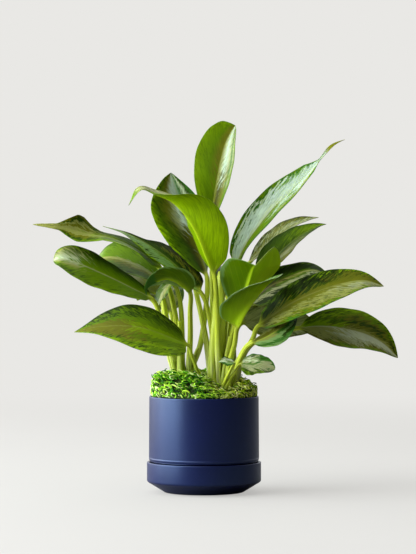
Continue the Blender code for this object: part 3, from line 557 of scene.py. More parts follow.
# Each leaf: root is where its stalk stands in the soil; stalk and rib are points along the stalk
# clear of the moss and along the midrib; up is where the upper side faces, from base to tip. half
# is the width of each half; widest, tip and base shape the outline, and trim multiplies the width
# at places along it. fold lifts both halves and curl bends them further, in degrees from base to
# tip. lean is the side veins' angle, wave the height of the waves in the edge, thick the stalk's
# radius and foot that radius at the soil. A pair gives one value for each half.
plainLeaf = dict(widest=0.42, tip=1.35, base=0.6, fold=(8, 4), curl=(0, 0), trim=[(0, 1), (1, 1)],
                 lean=28.0, wave=1.5, thick=3.2)
leaves = {
    "leaf_top": dict(
        root=(16.5, 5), stalk=[(13, 12, 215), (11, 24, 290)],
        rib=[(12, 29, 343), (12, 26, 395), (20, 16, 445), (28, 10, 478), (36, 9, 496),
             (45, 12, 509)],
        up=[(-0.5, -0.9, 0.1)],
        half=(36, 34), fold=(28, 24), widest=0.66, tip=(0.5, 1.2), base=2.0),
    "leaf_silver": dict(
        root=(25.5, 5), stalk=[(27, 9, 205), (33, 16, 265)],
        rib=[(43, 17, 308), (61, 15, 346), (94, 9, 389), (128, 5, 424), (160, 8, 459),
             (178, 9, 479), (198, 10, 489)],
        up=[(-0.6, -0.7, 0.4), (-0.5, -0.7, 0.6), (-0.5, -0.6, 0.6)],
        half=(30, 25), fold=(22, 6), curl=(30, 0), tip=2.0, lean=10,
        trim=[(0, 1), (0.6, 1), (0.72, 0.85), (0.8, 0.17), (0.84, 0.35), (0.9, 1.1), (1, 2)]),
    "leaf_grey": dict(
        root=(30, 14), stalk=[(34, 22, 215), (46, 34, 270)],
        rib=[(61, 58, 314), (88, 76, 342), (118, 86, 365), (142, 88, 376), (164, 88, 381)],
        up=[(-0.4, -0.5, 0.8), (-0.2, -0.4, 0.9), (0, -0.3, 0.95)],
        half=(21, 27), fold=(15, 10), widest=(0.55, 0.42), base=(1.6, 0.6)),
    "leaf_right_green": dict(
        root=(36, 7), stalk=[(40, 15, 215), (50, 26, 262)],
        rib=[(76, 36, 301), (100, 38, 326), (126, 37, 349), (155, 35, 366), (172, 32, 371)],
        up=[(-0.4, -0.6, 0.7), (-0.3, -0.5, 0.8), (-0.2, -0.4, 0.9)],
        half=29, fold=(15, 10)),
    "leaf_arching": dict(
        root=(18.7, -14), stalk=[(18.5, -18, 210), (17, -25, 268)],
        rib=[(14, -30, 300), (3, -32, 330), (-10, -30, 360), (-26, -27, 385), (-44, -25, 402),
             (-66, -26, 411), (-87, -32, 417), (-105, -38, 393)],
        up=[(0.5, 0.77, 0.1), (0.5, 0.77, 0.3), (0.5, 0.65, 0.55), (0.1, 0.05, 1),
            (-0.1, -0.25, 0.95), (-0.3, -0.25, 0.9)],
        half=(44, 37), fold=(40, 36, 10, 4), tip=(2.6, 1.6), foot=4.6),
    "leaf_back_dark": dict(
        root=(-21, 12.5), stalk=[(-6, 10, 200), (2, 7, 250)],
        rib=[(4, 9, 296), (-7, 27, 334), (-20, 37, 365), (-33, 45, 397), (-47, 49, 445)],
        up=[(0.1, -0.95, 0.3)],
        half=(46, 28), fold=(12, 16), widest=(0.68, 0.62), tip=(0.95, 1.3), base=(0.8, 1.5)),
    "leaf_far_left": dict(
        root=(-34, 2), stalk=[(-38, 5, 232), (-49, 11, 284)],
        rib=[(-60, 10, 308), (-88, 3, 333), (-123, -8, 350), (-160, -15, 357), (-198, -20, 366),
             (-238, -22, 370)],
        up=[(-0.1, -0.5, 0.85), (-0.1, -0.45, 0.85), (-0.1, -0.4, 0.9), (0, -0.35, 0.9),
            (0, -0.3, 0.9), (0, -0.7, 0.7), (0, -0.95, 0.3), (0, -0.8, 0.5), (0, -0.5, 0.85)],
        half=(30, 25), fold=(10, 6), tip=1.15,
        trim=([(0, 1), (0.1, 0.9), (0.24, 1.0), (0.38, 0.96), (0.48, 0.82), (0.56, 0.74),
               (0.66, 0.8), (0.74, 0.55), (0.8, 0.35), (0.9, 0.42), (1, 0.9)],
              [(0, 1), (0.1, 0.9), (0.24, 0.85), (0.38, 0.64), (0.47, 0.54), (0.55, 0.68),
               (0.64, 1.18), (0.69, 1.25), (0.76, 0.8), (0.82, 0.38), (0.9, 0.42), (1, 0.9)])),
    "leaf_left_edge": dict(
        root=(12.5, -5), stalk=[(12.5, -8, 205), (6, -9, 248)],
        rib=[(-4, -9, 275), (-40, -3, 315), (-75, 1, 341), (-109, 0, 359), (-142, -5, 368)],
        up=[(0.4, -0.35, 0.8), (0.35, -0.3, 0.87), (0.1, -0.1, 0.98)],
        half=(27, 34), fold=((-5, 16), (-8, 6)), base=(0.6, 0.5),
        trim=([(0, 1), (1, 1)],
              [(0, 1), (0.42, 0.95), (0.52, 0.72), (0.62, 0.28), (0.72, 0.12), (1, 0.1)])),
    "leaf_left_round": dict(
        root=(-36, 5), stalk=[(-46, -1, 196), (-59, -10, 238)],
        rib=[(-71, -15, 266), (-103, -25, 285), (-142, -34, 304), (-172, -40, 317),
             (-194, -42, 323), (-208, -38, 319)],
        up=[(-0.1, -0.6, 0.8), (-0.1, -0.6, 0.8), (-0.3, -0.6, 0.6)],
        half=(37, 28.5), widest=(0.6, 0.72), tip=(0.8, 0.45)),
    "leaf_left_inner": dict(
        root=(-39, 14.5), stalk=[(-46, 15, 205), (-56, 18, 262)],
        rib=[(-60, 20, 290), (-88, 24, 311), (-118, 30, 323), (-140, 37, 324), (-153, 48, 317)],
        up=[(0, -0.5, 0.85), (0, -0.5, 0.85), (-0.6, -0.3, 0.6)],
        half=36, fold=(10, 6), widest=0.55, tip=0.6),
    "leaf_low_left": dict(
        root=(-6, -12), stalk=[(-10, -17, 171), (-17, -28, 191)],
        rib=[(-22, -36, 204), (-53, -60, 219), (-93, -73, 231), (-140, -78, 231), (-178, -77, 223)],
        up=[(0, -0.75, 0.65), (0, -0.75, 0.65), (0, -0.6, 0.8)],
        half=(44, 37), widest=(0.32, 0.42), base=(0.8, 0.6), wave=3.0, thick=2.4, foot=2.8),
    "leaf_bent_over": dict(
        root=(26.5, -4), stalk=[(32, -7, 190), (41, -12, 225)],
        rib=[(50, -16, 250), (56, -20, 272), (62, -28, 292), (66, -40, 306), (69, -56, 313),
             (70, -72, 314)],
        up=[(-0.1, 1, 0.2), (-0.1, 0.85, 0.5), (-0.1, 0.6, 0.8), (-0.1, 0.3, 0.95), (-0.1, 0.1, 1)],
        half=(43, 42), widest=(0.7, 0.5), base=(5.0, 0.9), tip=(0.6, 1.07),
        fold=((12, 15), (10, 18), (8, 20), (8, 20), (14, 26), (38, 28), (42, 28))),
    "leaf_front": dict(
        root=(31, -12.5), stalk=[(35, -22, 178), (42, -38, 206)],
        rib=[(45, -46, 228), (52, -52, 245), (66, -57, 266), (86, -58, 288), (108, -52, 303)],
        up=[(-0.56, 0.77, 0.29), (-0.55, 0.4, 0.75), (-0.35, 0, 0.95), (-0.2, -0.3, 0.9)],
        half=(22, 35), fold=(40, 30, 10), widest=0.24, base=0.5, tip=1.2),
    "leaf_right_dark": dict(
        root=(34.8, -1.5), stalk=[(41, 1, 212), (49, 5, 241)],
        rib=[(61, 8, 257), (85, 12, 280), (119, 15, 298), (150, 15, 307), (179, 14, 296)],
        up=[(-0.2, -0.5, 0.8), (-0.1, -0.5, 0.8), (0.2, -0.4, 0.9)],
        half=(28, 40), fold=((12, 2), (6, -2))),
    "leaf_right_big": dict(
        root=(43.5, 1), stalk=[(48, -3, 177), (67, -14, 212)],
        rib=[(74, -20, 229), (104, -34, 252), (131, -41, 268), (178, -41, 286), (218, -37, 293),
             (249, -32, 284)],
        up=[(-0.2, -0.7, 0.7), (0, -0.6, 0.8), (0.2, -0.5, 0.8)],
        half=(34, 41), fold=(10, 6), widest=0.5, tip=1.1),
    "leaf_thick_stalk": dict(
        root=(38, -20), stalk=[(44, -31, 172), (56, -45, 198)],
        rib=[(66, -54, 208), (82, -53, 215), (100, -46, 225), (116, -38, 237), (128, -31, 243)],
        up=[(-0.25, -0.85, 0.5), (-0.2, -0.88, 0.45), (-0.2, -0.75, 0.6)],
        half=(7, 23), fold=(14, 8), tip=0.9, base=0.7, thick=4.2),
    "leaf_right_low": dict(
        root=(46, 10), stalk=[(52, 7, 182), (66, 6, 204), (96, 8, 219)],
        rib=[(130, 8, 226), (158, 4, 229), (192, 0, 226), (222, -4, 219), (248, -8, 205),
             (269, -10, 184)],
        up=[(0, -0.75, 0.65), (0.1, -0.75, 0.65), (0.4, -0.6, 0.6)],
        half=36, widest=0.5, base=0.85, tip=1.15),
    "leaf_right_pale": dict(
        root=(39, 17), stalk=[(40, 24, 184), (43, 28, 212)],
        rib=[(52, 30, 232), (81, 34, 236), (112, 36, 234), (142, 35, 229), (170, 32, 225)],
        up=[(0, -0.9, 0.45), (0, -0.9, 0.45), (0.1, -0.8, 0.6)],
        half=28),
    "leaf_small_right": dict(
        root=(29, -38), stalk=[(34, -48, 156), (43, -58, 170)],
        rib=[(50, -63, 179), (62, -67, 180), (78, -72, 179), (97, -76, 173)],
        up=[(0, -0.6, 0.8), (0, -0.6, 0.8), (0.2, -0.5, 0.8)],
        half=(20, 27), thick=2.2, tip=0.75),
    "leaf_small_left": dict(
        root=(26, -36), stalk=[(30, -50, 158), (38, -63, 175)],
        rib=[(41, -67, 181), (35, -70, 183), (28, -72, 184), (19, -72, 183)],
        up=[(0, -0.6, 0.8), (0, -0.6, 0.8), (0, -0.55, 0.83)],
        half=9, thick=2.0),
    "leaf_left_under": dict(
        root=(-22, 3), stalk=[(-19, -13, 210), (-19, -24, 250)],
        rib=[(-19, -29, 276), (-33, -38, 290), (-50, -46, 296), (-66, -50, 291), (-77, -50, 283),
             (-79, -48, 272)],
        up=[(0.3, 0.6, 0.7), (0.2, 0.6, 0.8), (-0.9, 0.1, 0.3)],
        half=24, fold=(20, 10)),
    "leaf_hanging": dict(
        root=(-30, 10.5), stalk=[(-31, 10, 240), (-36, 5, 276)],
        rib=[(-44, 1, 288), (-53, -3, 283), (-61, -5, 268), (-64, -5, 252)],
        up=[(0, -0.5, 0.8), (-0.5, -0.5, 0.5), (-0.9, -0.4, 0)],
        half=12),
    "leaf_back": dict(
        root=(9, 1), stalk=[(3.5, -5, 205), (-4, -4, 245), (-12, 18, 280)],
        rib=[(-17, 42, 302), (-21, 72, 346), (-25, 118, 366), (-30, 165, 352), (-32, 200, 322)],
        up=[(0, -0.8, 0.5), (0, -0.2, 0.95), (0, 0.5, 0.85)],
        half=36, fold=(14, 6)),
    "leaf_back_right": dict(
        root=(20.5, 14), stalk=[(24, 24, 190), (29, 34, 235)],
        rib=[(34, 42, 262), (44, 72, 296), (54, 118, 306), (62, 160, 290), (66, 190, 262)],
        up=[(0, -0.7, 0.7), (0, -0.2, 0.95), (0, 0.5, 0.85)],
        half=34, fold=(14, 6)),
    "leaf_back_low_left": dict(
        root=(-33, 23), stalk=[(-37, 32, 184), (-40, 40, 215)],
        rib=[(-46, 50, 244), (-60, 82, 272), (-80, 128, 278), (-98, 172, 260)],
        up=[(0, -0.5, 0.85), (0, -0.1, 0.98), (0, 0.5, 0.85)],
        half=34, fold=(14, 6)),
    "leaf_back_low_right": dict(
        root=(46, 22), stalk=[(42, 34, 176), (42, 44, 207)],
        rib=[(50, 54, 236), (80, 86, 256), (109, 126, 257), (134, 164, 237)],
        up=[(0, -0.5, 0.85), (0, -0.1, 0.98), (0, 0.5, 0.85)],
        half=34, fold=(14, 6)),
    "leaf_side_left": dict(
        root=(-44, 22), stalk=[(-50, 30, 190), (-56, 38, 240)], thick=2.4, foot=2.9,
        rib=[(-64, 47, 270), (-98, 68, 300), (-138, 92, 309), (-176, 112, 294)],
        up=[(0, -0.3, 0.9), (0, -0.2, 0.95), (-0.4, 0.2, 0.85)],
        half=34, fold=(12, 6)),
    "leaf_side_right": dict(
        root=(31, 24), stalk=[(33, 31, 190), (40, 38, 232)],
        rib=[(56, 50, 258), (96, 68, 284), (144, 90, 292), (188, 110, 274)],
        up=[(0, -0.3, 0.9), (0, -0.2, 0.95), (0.4, 0.2, 0.85)],
        half=34, fold=(12, 6)),
}

leafMake = {
    "stalkRows": 44, "bladeRows": 92, "halfColumns": 12, "columnPower": 1.6, "lastColumn": 0.985,
    "tipAt": 0.985, "crowding": 0.55, "closeFrom": 0.95, "headingReach": 1.5,
    "thickness": 0.7, "edgeThickness": 0.45, "footExtra": 1.6, "footLeast": 2.0,
    "stalkFoot": 104.0, "stalkClear": 3.0, "join": 0.075, "channel": 0.10, "channelWidth": 0.45,
    "veinGap": 7.5, "veinRelief": 0.16, "groove": 0.5, "grooveWidth": 1.6, "ridge": 1.5,
    "waves": 9.0, "ripple": 0.45, "ripples": 31.0,
}


def spread(values, t):
    # The values at t of a list spread evenly from 0 to 1
    values = np.array(values, float).reshape(len(values), -1)
    marks = np.linspace(0, 1, len(values))
    return np.stack([np.interp(t, marks, values[:, k]) for k in range(values.shape[1])], -1)


def pair(value):
    # One value for each half
    return value if isinstance(value, tuple) else (value, value)


def bladeWidth(t, widest, tip, base):
    # (1 - (1 - t/widest)^2)^base up to the widest place, then (1 - ((t-widest)/(1-widest))^2)^tip
    rise = np.clip(1 - (1 - t / widest) ** 2, 0, 1) ** base
    fall = np.clip(1 - ((t - widest) / (1 - widest)) ** 2, 0, 1) ** tip
    return np.where(t < widest, rise, fall)


def leafGrid(spec):
    # A closed ring of points, half over and half under, at each place along the stalk and blade.
    # Stalk ring: centre + r (side cos a + up sin a). Blade ring, at share s of the half width w:
    # centre + side w s cos(fold + curl s/2) + up (w s sin(fold + curl s/2) + waves + ripples
    # + veins - groove); the under side lies the thickness and the midrib's ridge below it
    m = leafMake
    x, y = spec["root"]
    stalk = [(x, y, m["stalkFoot"]), (x, y, float(mossTop(x, y)) + m["stalkClear"])] + spec["stalk"]
    line, along, marks = smoothPath(stalk + spec["rib"])
    baseAt, total = marks[len(stalk)], along[-1]

    def onLine(at):
        return np.column_stack([np.interp(at, along, line[:, k]) for k in range(3)])

    u = np.linspace(0, 1, m["bladeRows"])       # rows crowd towards the blade's base and tip
    t = (1 - m["crowding"]) * u + m["crowding"] * (0.5 - 0.5 * np.cos(math.pi * u))
    t = np.concatenate([np.zeros(m["stalkRows"]), m["tipAt"] * t])
    at = baseAt + (total - baseAt) * t
    at[:m["stalkRows"]] = baseAt * np.arange(m["stalkRows"]) / m["stalkRows"]
    centre = onLine(at)
    heading = unit(onLine(at + m["headingReach"]) - onLine(at - m["headingReach"]))
    up = spread(spec["up"], t)
    up = unit(up - heading * (up * heading).sum(1, keepdims=True))
    for row in range(m["stalkRows"] - 1, -1, -1):     # the stalk takes over the blade's first up
        up[row] = unit(up[row + 1] - heading[row] * up[row + 1].dot(heading[row]))
    side, up, centre = np.cross(heading, up)[:, None], up[:, None], centre[:, None]

    # round the ring: share s from midrib to edge, which half, over or under, the stalk's angle
    j = np.arange(-m["halfColumns"] - 1, m["halfColumns"] + 2)
    share = np.minimum(np.abs(j) / m["halfColumns"], 1.0) ** m["columnPower"] * m["lastColumn"]
    share[[0, -1]] = 1.0
    v = share * np.sign(j)
    v = np.concatenate([v, v[::-1]])
    over = np.repeat([1.0, 0.0], len(j))
    turn = np.radians(90.0 - j * 180.0 / len(j))
    turn = np.concatenate([turn, -turn[::-1]])
    s, sign, half = np.abs(v), np.sign(v), (v > 0).astype(int)

    close = np.clip((t - m["closeFrom"]) / (m["tipAt"] - m["closeFrom"]), 0, 1)
    close = np.sqrt(np.clip(1 - close ** 2, 0, 1))
    outlines = zip(pair(spec["widest"]), pair(spec["tip"]), pair(spec["base"]))
    part = np.stack([bladeWidth(t, *outline) * close for outline in outlines], 1)
    trims = [np.interp(t, *np.array(marks).T) for marks in pair(spec["trim"])]
    width = (part * pair(spec["half"]) * np.stack(trims, 1))[:, half]
    part = part[:, half]
    fold = np.radians(np.broadcast_to(spread(spec["fold"], t), (len(t), 2)))[:, half]
    curl = np.radians(spread(spec["curl"], t))

    toTip = t[:, None]
    out = s * width                                          # mm from the midrib
    ahead = toTip * (total - baseAt)                         # mm from the blade's base
    lean = math.radians(spec["lean"])
    cross = out * math.cos(lean) - ahead * math.sin(lean)    # across the side veins
    flow = out * math.sin(lean) + ahead * math.cos(lean)     # along the side veins
    bend = fold + curl * s / 2
    soft = (np.sqrt(s * s + 0.0012) - 0.0346) / (math.sqrt(1.0012) - 0.0346)    # rounds the crease
    waves = spec["wave"] * s * s * np.sin(m["waves"] * toTip + 1.7 * half)
    ripples = m["ripple"] * s ** 3 * np.sin(m["ripples"] * toTip + 2.1 * half + spec["root"][1])
    veins = m["veinRelief"] * np.cos(2 * math.pi * (cross / m["veinGap"] + 0.5 * half))
    veins = veins * np.sin(math.pi * s) * part ** 0.5
    groove = m["groove"] * np.exp(-(out / m["grooveWidth"]) ** 2) * (1 - toTip)
    lift = width * soft * np.sin(bend) + (waves + ripples) * part + veins - groove
    blade = centre + side * (out * np.cos(bend) * sign)[..., None] + up * lift[..., None]
    tilt = (fold + curl * s) * (1 - np.exp(-(out / 3.0) ** 2))
    normal = up * np.cos(tilt)[..., None] - side * (np.sin(tilt) * sign)[..., None]
    thick = spec["thick"]
    ribWidth = thick * (0.95 * (1 - toTip) ** 0.7 + 0.12)
    rib = np.exp(-(out / ribWidth) ** 2)
    depth = m["thickness"] + (m["edgeThickness"] - m["thickness"]) * s ** 2
    depth = depth + m["ridge"] * thick * (1 - toTip) ** 1.3 * rib
    blade = blade - normal * (depth * (1 - over))[..., None]

    foot = spec.get("foot", max(thick + m["footExtra"], m["footLeast"]))
    climb = np.clip(at / baseAt, 0, 1)[:, None]
    channel = m["channel"] * np.exp(-((turn - math.pi / 2) / m["channelWidth"]) ** 2) * climb
    radius = (foot + (thick - foot) * climb) * (1 - channel)
    tube = centre + side * (radius * np.cos(turn))[..., None]
    tube = tube + up * (radius * np.sin(turn))[..., None]
    blend = np.clip(toTip / m["join"], 0, 1)
    blend = blend * blend * (3 - 2 * blend)
    points = tube * (1 - blend[..., None]) + blade * blend[..., None]
    fields = dict(across=v, along=toTip, cross=cross, flow=flow, upper=over, turn=np.abs(turn),
                  stem=1 - blend, climb=climb, rib=rib)
    return points, {name: np.broadcast_to(each, width.shape) for name, each in fields.items()}


def leafPiece(node, spec, look):
    # The rings joined by quads, with flat strips across the first and the last
    points, fields = leafGrid(spec)
    rows, ring = points.shape[:2]
    faces = gridQuads(rows, ring, True).tolist()
    pick = np.arange(ring // 2 - 1)
    for row, turned in ((0, True), (rows - 1, False)):
        a = row * ring + pick
        b = row * ring + ring - 1 - pick
        faces += np.column_stack([a, b, b - 1, a + 1] if turned else [a, a + 1, b - 1, b]).tolist()
    stand(meshPiece(node + "_blade", points.reshape(-1, 3), faces, look, fields), "leaf", node)


# Colours of 0 to 255 that the leaves share
# glow and bright are partly the leaves' own light green and partly painted light, the yellow-green
# of light shining through a leaf
tints = {
    "black": (14, 22, 2), "dark": (30, 48, 3), "forest": (48, 74, 4), "grass": (74, 104, 2),
    "leaf": (96, 130, 1), "lime": (126, 162, 2), "glow": (152, 190, 4), "bright": (176, 206, 30),
    "olive": (106, 110, 20), "umber": (60, 56, 12), "brown": (96, 78, 34), "sage": (144, 150, 74),
    "pale": (184, 192, 128), "silver": (200, 218, 176), "frost": (200, 222, 200),
    "teal": (126, 164, 92), "jade": (56, 108, 30), "ash": (154, 162, 114), "fog": (190, 200, 160),
    "mist": (180, 203, 177),
}
# Looks: bands across the leaf, each a place in hundredths from the first margin over the midrib at
# 50 to the second margin, and its colour from there on. base and tip are the upper side's two ends,
# which meet at blendAt, and under is the other side. feather is how far the bands' edges wander,
# and soft eases each band into the next. fleck is how strong the marks are, in mark's colour, and
# grain the finer ones. vein is how pale the midrib is above; veins and veinTint are the side veins
# below. shine and relief multiply the gloss and the bump, and end is a place along the leaf with
# the colour past it. The six leaves with no entry have plainLooks.
plainLooks = dict(
    base="0 grass 4 forest 18 sage 50 sage 82 forest 96 grass",
    tip="0 grass 5 forest 16 sage 34 pale 50 pale 84 forest 95 grass",
    under="0 grass 30 leaf 50 lime 70 leaf 96 grass",
    feather=0.6, fleck=0.5, grain=0.3, blendAt=0.5, soft=False, mark="dark", vein=0.35, veins=0.14,
    veinTint="bright", shine=1.0, relief=1.0)
leafLooks = {
    "leaf_top": dict(
        # lime towards the first margin is partly the leaf's green and partly painted light shining
        # through it; the olive and umber beside the midrib on the second half are painted shade
        base="0 lime 30 leaf 44 leaf 54 olive 64 umber 84 olive 95 leaf",
        tip="0 lime 30 leaf 42 olive 50 olive 58 ash 68 mist 82 ash 89 jade 94 ash 98 leaf",
        feather=0.12, blendAt=0.56, fleck=0.3, soft=True, vein=0.08),
    "leaf_silver": dict(
        base="0 leaf 3 jade 8 silver 15 frost 42 silver 48 leaf 80 grass 94 forest",
        tip="0 leaf 3 jade 9 teal 15 mist 60 mist 76 ash 82 sage 88 leaf 94 jade", blendAt=0.48,
        fleck=1.0, mark="jade", shine=0.15, relief=0.2, end=(0.88, "olive")),
    "leaf_grey": dict(
        base="0 umber 8 ash 26 olive 40 ash 54 olive 72 ash 88 umber 95 brown",
        tip="0 umber 10 olive 24 ash 48 olive 56 ash 90 umber", feather=0.8, grain=0.8, fleck=0.9,
        mark="umber"),
    "leaf_right_green": dict(
        base="0 dark 10 forest 30 grass 58 forest 66 olive 78 ash 90 olive",
        tip="0 forest 10 leaf 40 lime 56 grass 92 forest", feather=0.3, blendAt=0.6, soft=True,
        shine=0.3),
    "leaf_arching": dict(
        base="0 pale", tip="0 sage 12 pale 50 sage 60 pale 92 sage",
        # under: glow and lime are partly the underside's own green and partly painted light shining
        # through it
        under="0 lime 14 glow 44 glow 54 lime 88 lime", feather=0.16, grain=0.7, veins=0.4,
        veinTint="grass", shine=0.5, relief=0.4, end=(0.9, "leaf")),
    "leaf_back_dark": dict(
        base="0 glow 5 leaf 10 grass 28 forest 38 umber 46 olive 52 umber 72 forest 92 dark",
        tip="0 glow 6 leaf 14 grass 29 olive 36 ash 43 frost 60 jade 72 silver 84 forest 94 jade",
        feather=0.3, fleck=0.75, soft=True),
    "leaf_far_left": dict(
        base="0 lime 14 leaf 40 lime 50 leaf 66 grass 86 forest",
        tip="0 leaf 8 forest 18 olive 30 sage 62 olive 72 sage 82 forest 90 olive", feather=0.5,
        fleck=0.6, shine=0.3, end=(0.84, "sage")),
    "leaf_left_edge": dict(
        base="0 lime 5 teal 36 leaf 44 leaf 50 forest 60 dark 70 olive 78 umber 90 black",
        tip="0 lime 5 teal 42 leaf 50 forest 80 dark", feather=0.7, fleck=1.0, shine=0.3),
    "leaf_left_round": dict(
        base="0 lime 6 leaf 24 leaf 46 leaf 49 ash 51 leaf 76 grass 86 forest 95 dark",
        # tip: the ash and silver across its middle are partly the leaf's silver and partly a
        # painted sheen
        tip="0 leaf 4 grass 14 forest 22 leaf 32 sage 42 ash 52 silver 74 ash 90 sage 97 leaf",
        feather=0.3, blendAt=0.78, fleck=0.7, soft=True, shine=0.6),
    "leaf_left_inner": dict(
        base="0 leaf 8 grass 28 olive 38 sage 46 ash 54 leaf 86 grass",
        tip="0 leaf 10 grass 30 olive 42 sage 52 leaf 88 grass", feather=0.5, fleck=0.8),
    "leaf_low_left": dict(
        base="0 lime 5 leaf 14 lime 24 leaf 38 lime 58 leaf 70 grass 80 forest 86 leaf 93 forest",
        tip="0 lime 6 leaf 14 olive 42 olive 50 olive 66 leaf 77 forest 82 leaf 92 forest",
        feather=0.4, fleck=1.0, grain=0.15),
    "leaf_bent_over": dict(
        base="0 pale 50 leaf", tip="0 pale 50 sage 88 leaf",
        # under: bright across the first half is partly the underside's own green and partly painted
        # light that lifts that lobe out of its shade
        under="0 bright 30 bright 48 bright 52 bright 56 leaf 76 leaf 92 leaf 97 teal",
        feather=0.12),
    "leaf_front": dict(
        base="0 jade 10 teal 90 silver", tip="0 teal 80 silver",
        # under: glow and bright are partly the underside's own green and partly painted light
        # shining through it
        under="0 teal 3 glow 30 lime 47 bright 53 glow 80 lime 95 leaf 98 teal", feather=0.14),
    "leaf_right_dark": dict(
        base="0 leaf 4 forest 12 dark 36 forest 46 umber 54 grass 62 ash 74 dark 92 grass",
        tip="0 leaf 5 forest 14 dark 40 grass 50 sage 58 grass 66 ash 78 dark 92 grass",
        fleck=0.9),
    "leaf_right_big": dict(
        base="0 grass 3 dark 12 black 24 dark 31 forest 38 olive 58 olive 66 sage 84 olive 93"
             " leaf 98 jade",
        tip="0 lime 4 forest 10 olive 24 olive 34 olive 50 sage 60 ash 80 sage 93 leaf",
        feather=0.9, blendAt=0.66, fleck=1.0, grain=0.4, shine=0.25),
    "leaf_thick_stalk": dict(
        base="0 sage 12 olive 44 sage 48 bright 52 sage 62 teal 78 jade 94 teal",
        tip="0 sage 40 olive 48 leaf 54 jade 66 teal 80 dark 92 jade", feather=0.5, fleck=0.4),
    "leaf_right_low": dict(
        base="0 leaf 5 grass 14 lime 22 grass 30 leaf 36 lime 48 fog 51 sage 72 sage 90 olive",
        tip="0 lime 5 leaf 14 olive 24 forest 34 olive 44 sage 50 fog 72 ash 84 olive 93 leaf",
        blendAt=0.4, fleck=0.7, grain=0.12, shine=0.4),
    "leaf_right_pale": dict(
        # pale throughout is partly the leaf's own pale silver and partly painted light against the
        # shade of the leaves above it
        base="0 sage 6 pale 92 sage", tip="0 sage 6 pale 92 sage", feather=0.3, grain=0.5,
        shine=0.2),
    "leaf_small_right": dict(
        base="0 jade 10 ash 24 silver 36 ash 46 jade 54 ash 74 forest 90 leaf",
        tip="0 jade 20 ash 60 jade 66 ash 80 forest 92 leaf", feather=0.9, fleck=0.9),
    "leaf_small_left": dict(
        base="0 jade 20 teal 60 silver 90 jade", tip="0 jade 30 silver 70 ash 90 jade",
        feather=0.4),
    "leaf_left_under": dict(
        base="0 dark 20 teal 40 jade", tip="0 dark 20 silver 36 jade 60 forest 92 teal",
        under="0 teal 7 grass 46 leaf 54 grass 93 teal", feather=0.4, fleck=0.8,
        end=(0.72, "jade")),
    "leaf_hanging": dict(
        base="0 leaf 16 sage 40 ash 56 grass 84 forest",
        tip="0 leaf 16 sage 40 ash 56 grass 84 forest", feather=0.7, grain=0.6, fleck=0.9),
}

skin = {
    # noises drawn out along the side veins: mm across them, mm along them
    "streak": (2.5, 17.0), "fine": (1.5, 14.0), "broad": (13.0, 40.0), "marks": (2.2, 14.0),
    # how far streak and broad push a band's edge, and the share of the half over which that starts
    "streakPush": 1.7, "broadPush": 0.9, "pushFrom": (0.02, 0.3),
    "tipBlend": 0.12, "endBlend": 0.06,                        # in shares of the blade's length
    "markStep": (0.56, 0.61), "markOut": (0.1, 0.8), "grainStep": (0.40, 0.64),
    "sideVein": 0.10, "midrib": 0.85, "grainBelow": 0.6,
    # stalk: foot to body between two shares of its height, with shade in long streaks
    "foot": (236, 242, 180), "body": (196, 212, 66), "shade": (100, 106, 12),
    "bodyFrom": (0.12, 0.62), "shadeStep": (0.42, 0.66), "shadeShare": 0.75,
    "shadeScale": (4.0, 2.5), "toneSwing": 0.45, "rough": 0.28, "roughSwing": 0.16, "bump": 0.18,
    "bumpDepth": 0.0005, "veinBump": 0.4, "specular": 0.14, "subsurface": 0.3,
}


def bands(text):
    # Pairs of a place in hundredths and a tint's name, made stops for a ramp
    words = text.split()
    return [(int(place) / 100, tints[tint]) for place, tint in zip(words[::2], words[1::2])]


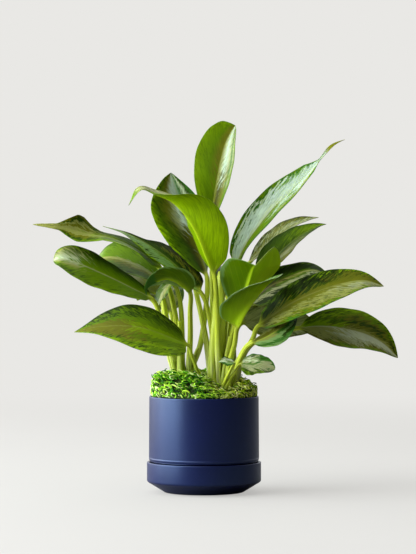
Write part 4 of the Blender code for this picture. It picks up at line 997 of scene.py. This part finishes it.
def leafLook(node, spec):
    # The bands' edges lie at the place across the leaf plus feather times noise. Over them come
    # the dark marks, the grain, the midrib and the side veins, and last the stalk's own skin
    looks, k = dict(plainLooks, **leafLooks.get(node, {})), skin
    n = newLook(node + "_skin")
    across, along, cross, flow = (n.field(f) for f in ("across", "along", "cross", "flow"))
    upper, stem, rib, climb = (n.field(f) for f in ("upper", "stem", "rib", "climb"))
    off, half = n.math("ABSOLUTE", across), n.math("SIGN", across)
    seed = n.math("MULTIPLY_ADD", half, 7.0, spec["root"][0] * 1.7 + spec["root"][1])

    def drawn(kind, shift, detail=2.0):
        # noise long along the veins
        wide, long = k[kind]
        spot = n.add("CombineXYZ", {0: n.math("DIVIDE", cross, wide),
                                    1: n.math("DIVIDE", flow, long), 2: n.math("ADD", seed, shift)})
        return n.noise(spot, 1.0, detail, 0.6)

    def times(a, b):
        return n.math("MULTIPLY", a, b)

    def centred(noise):
        return n.math("SUBTRACT", noise, 0.5)

    streak, fine, broad = drawn("streak", 0.0, 3.0), drawn("fine", 3.0), drawn("broad", 5.0)
    push = n.math("ADD", times(centred(streak), looks["feather"] * k["streakPush"]),
                  times(centred(broad), looks["feather"] * k["broadPush"]))
    place = n.math("ADD", off, times(push, n.step(off, *k["pushFrom"])))
    place = times(n.math("MAXIMUM", place, 0.004), half)
    place = n.math("MULTIPLY_ADD", place, 0.5, 0.5, clamp=True)
    kind = "LINEAR" if looks["soft"] else "CONSTANT"
    base, tip, below = (n.ramp(place, bands(looks[part]), kind if part != "under" else "LINEAR")
                        for part in ("base", "tip", "under"))
    nearTip = n.step(n.math("ADD", centred(streak), along), looks["blendAt"] - k["tipBlend"],
                     looks["blendAt"] + k["tipBlend"])
    top = n.mix(nearTip, base, tip)
    marks = times(n.step(drawn("marks", 9.0), *k["markStep"]),
                  times(n.step(off, *k["markOut"]), looks["fleck"]))
    grain = times(n.step(fine, *k["grainStep"]), looks["grain"])
    top = n.mix(grain, n.mix(marks, top, tints[looks["mark"]]), tints["forest"])
    top = n.mix(times(n.math("POWER", rib, 3.0), looks["vein"]), top, tints["sage"])

    fromVein = n.math("PINGPONG", n.math("DIVIDE", cross, leafMake["veinGap"]), 0.5)
    side = n.math("SUBTRACT", 1.0, n.step(fromVein, 0.0, k["sideVein"]))
    below = n.mix(times(side, looks["veins"]), below, tints[looks["veinTint"]])
    below = n.mix(times(grain, k["grainBelow"]), below, tints["grass"])
    below = n.mix(times(rib, k["midrib"]), below, tints["bright"])
    blade = n.mix(upper, below, top)
    if "end" in looks:
        start, tint = looks["end"]
        ended = n.step(n.math("MULTIPLY_ADD", streak, 0.12, along), start, start + k["endBlend"])
        blade = n.mix(ended, blade, tints[tint])

    aroundScale, upScale = k["shadeScale"]
    cord = n.add("CombineXYZ", {0: times(n.field("turn"), aroundScale), 1: times(climb, upScale),
                                2: seed})
    shade = times(n.step(n.noise(cord, 1.0), *k["shadeStep"]), k["shadeShare"])
    stalk = n.mix(shade, n.mix(n.step(climb, *k["bodyFrom"]), k["foot"], k["body"]), k["shade"])
    tone = n.math("MULTIPLY_ADD", n.math("ADD", broad, fine), k["toneSwing"], 1.0 - k["toneSwing"])
    colour = n.add("HueSaturation", {"Value": tone, "Color": n.mix(stem, blade, stalk)})
    gloss = n.math("MULTIPLY_ADD", streak, k["roughSwing"], k["rough"])
    height = n.math("ADD", streak, times(side, k["veinBump"]))
    return n.finish(colour, gloss, height, k["bump"] * looks["relief"], k["bumpDepth"],
                    Subsurface_Weight=k["subsurface"], Subsurface_Radius=(1.0, 1.0, 0.3),
                    Subsurface_Scale=0.0008, Specular_IOR_Level=k["specular"] * looks["shine"])


makeCamera()
makeSky()
for lampName, lampSpec in studio["lamps"].items():
    makeLamp(lampName, *lampSpec)
makeFloor()
print("camera, floor and light made")
makePot()
print("pot and saucer made")
dressSoil()
makeMossBed()
makeStrands()
makeSheaths()
print("moss and sheaths made")
for leafName, leafSpec in leaves.items():
    leafSpec = dict(plainLeaf, **leafSpec)
    leafPiece(leafName, leafSpec, leafLook(leafName, leafSpec))
print("leaves made:", len(leaves))

bpy.context.scene.view_settings.view_transform = "Standard"
bpy.context.view_layer.update()
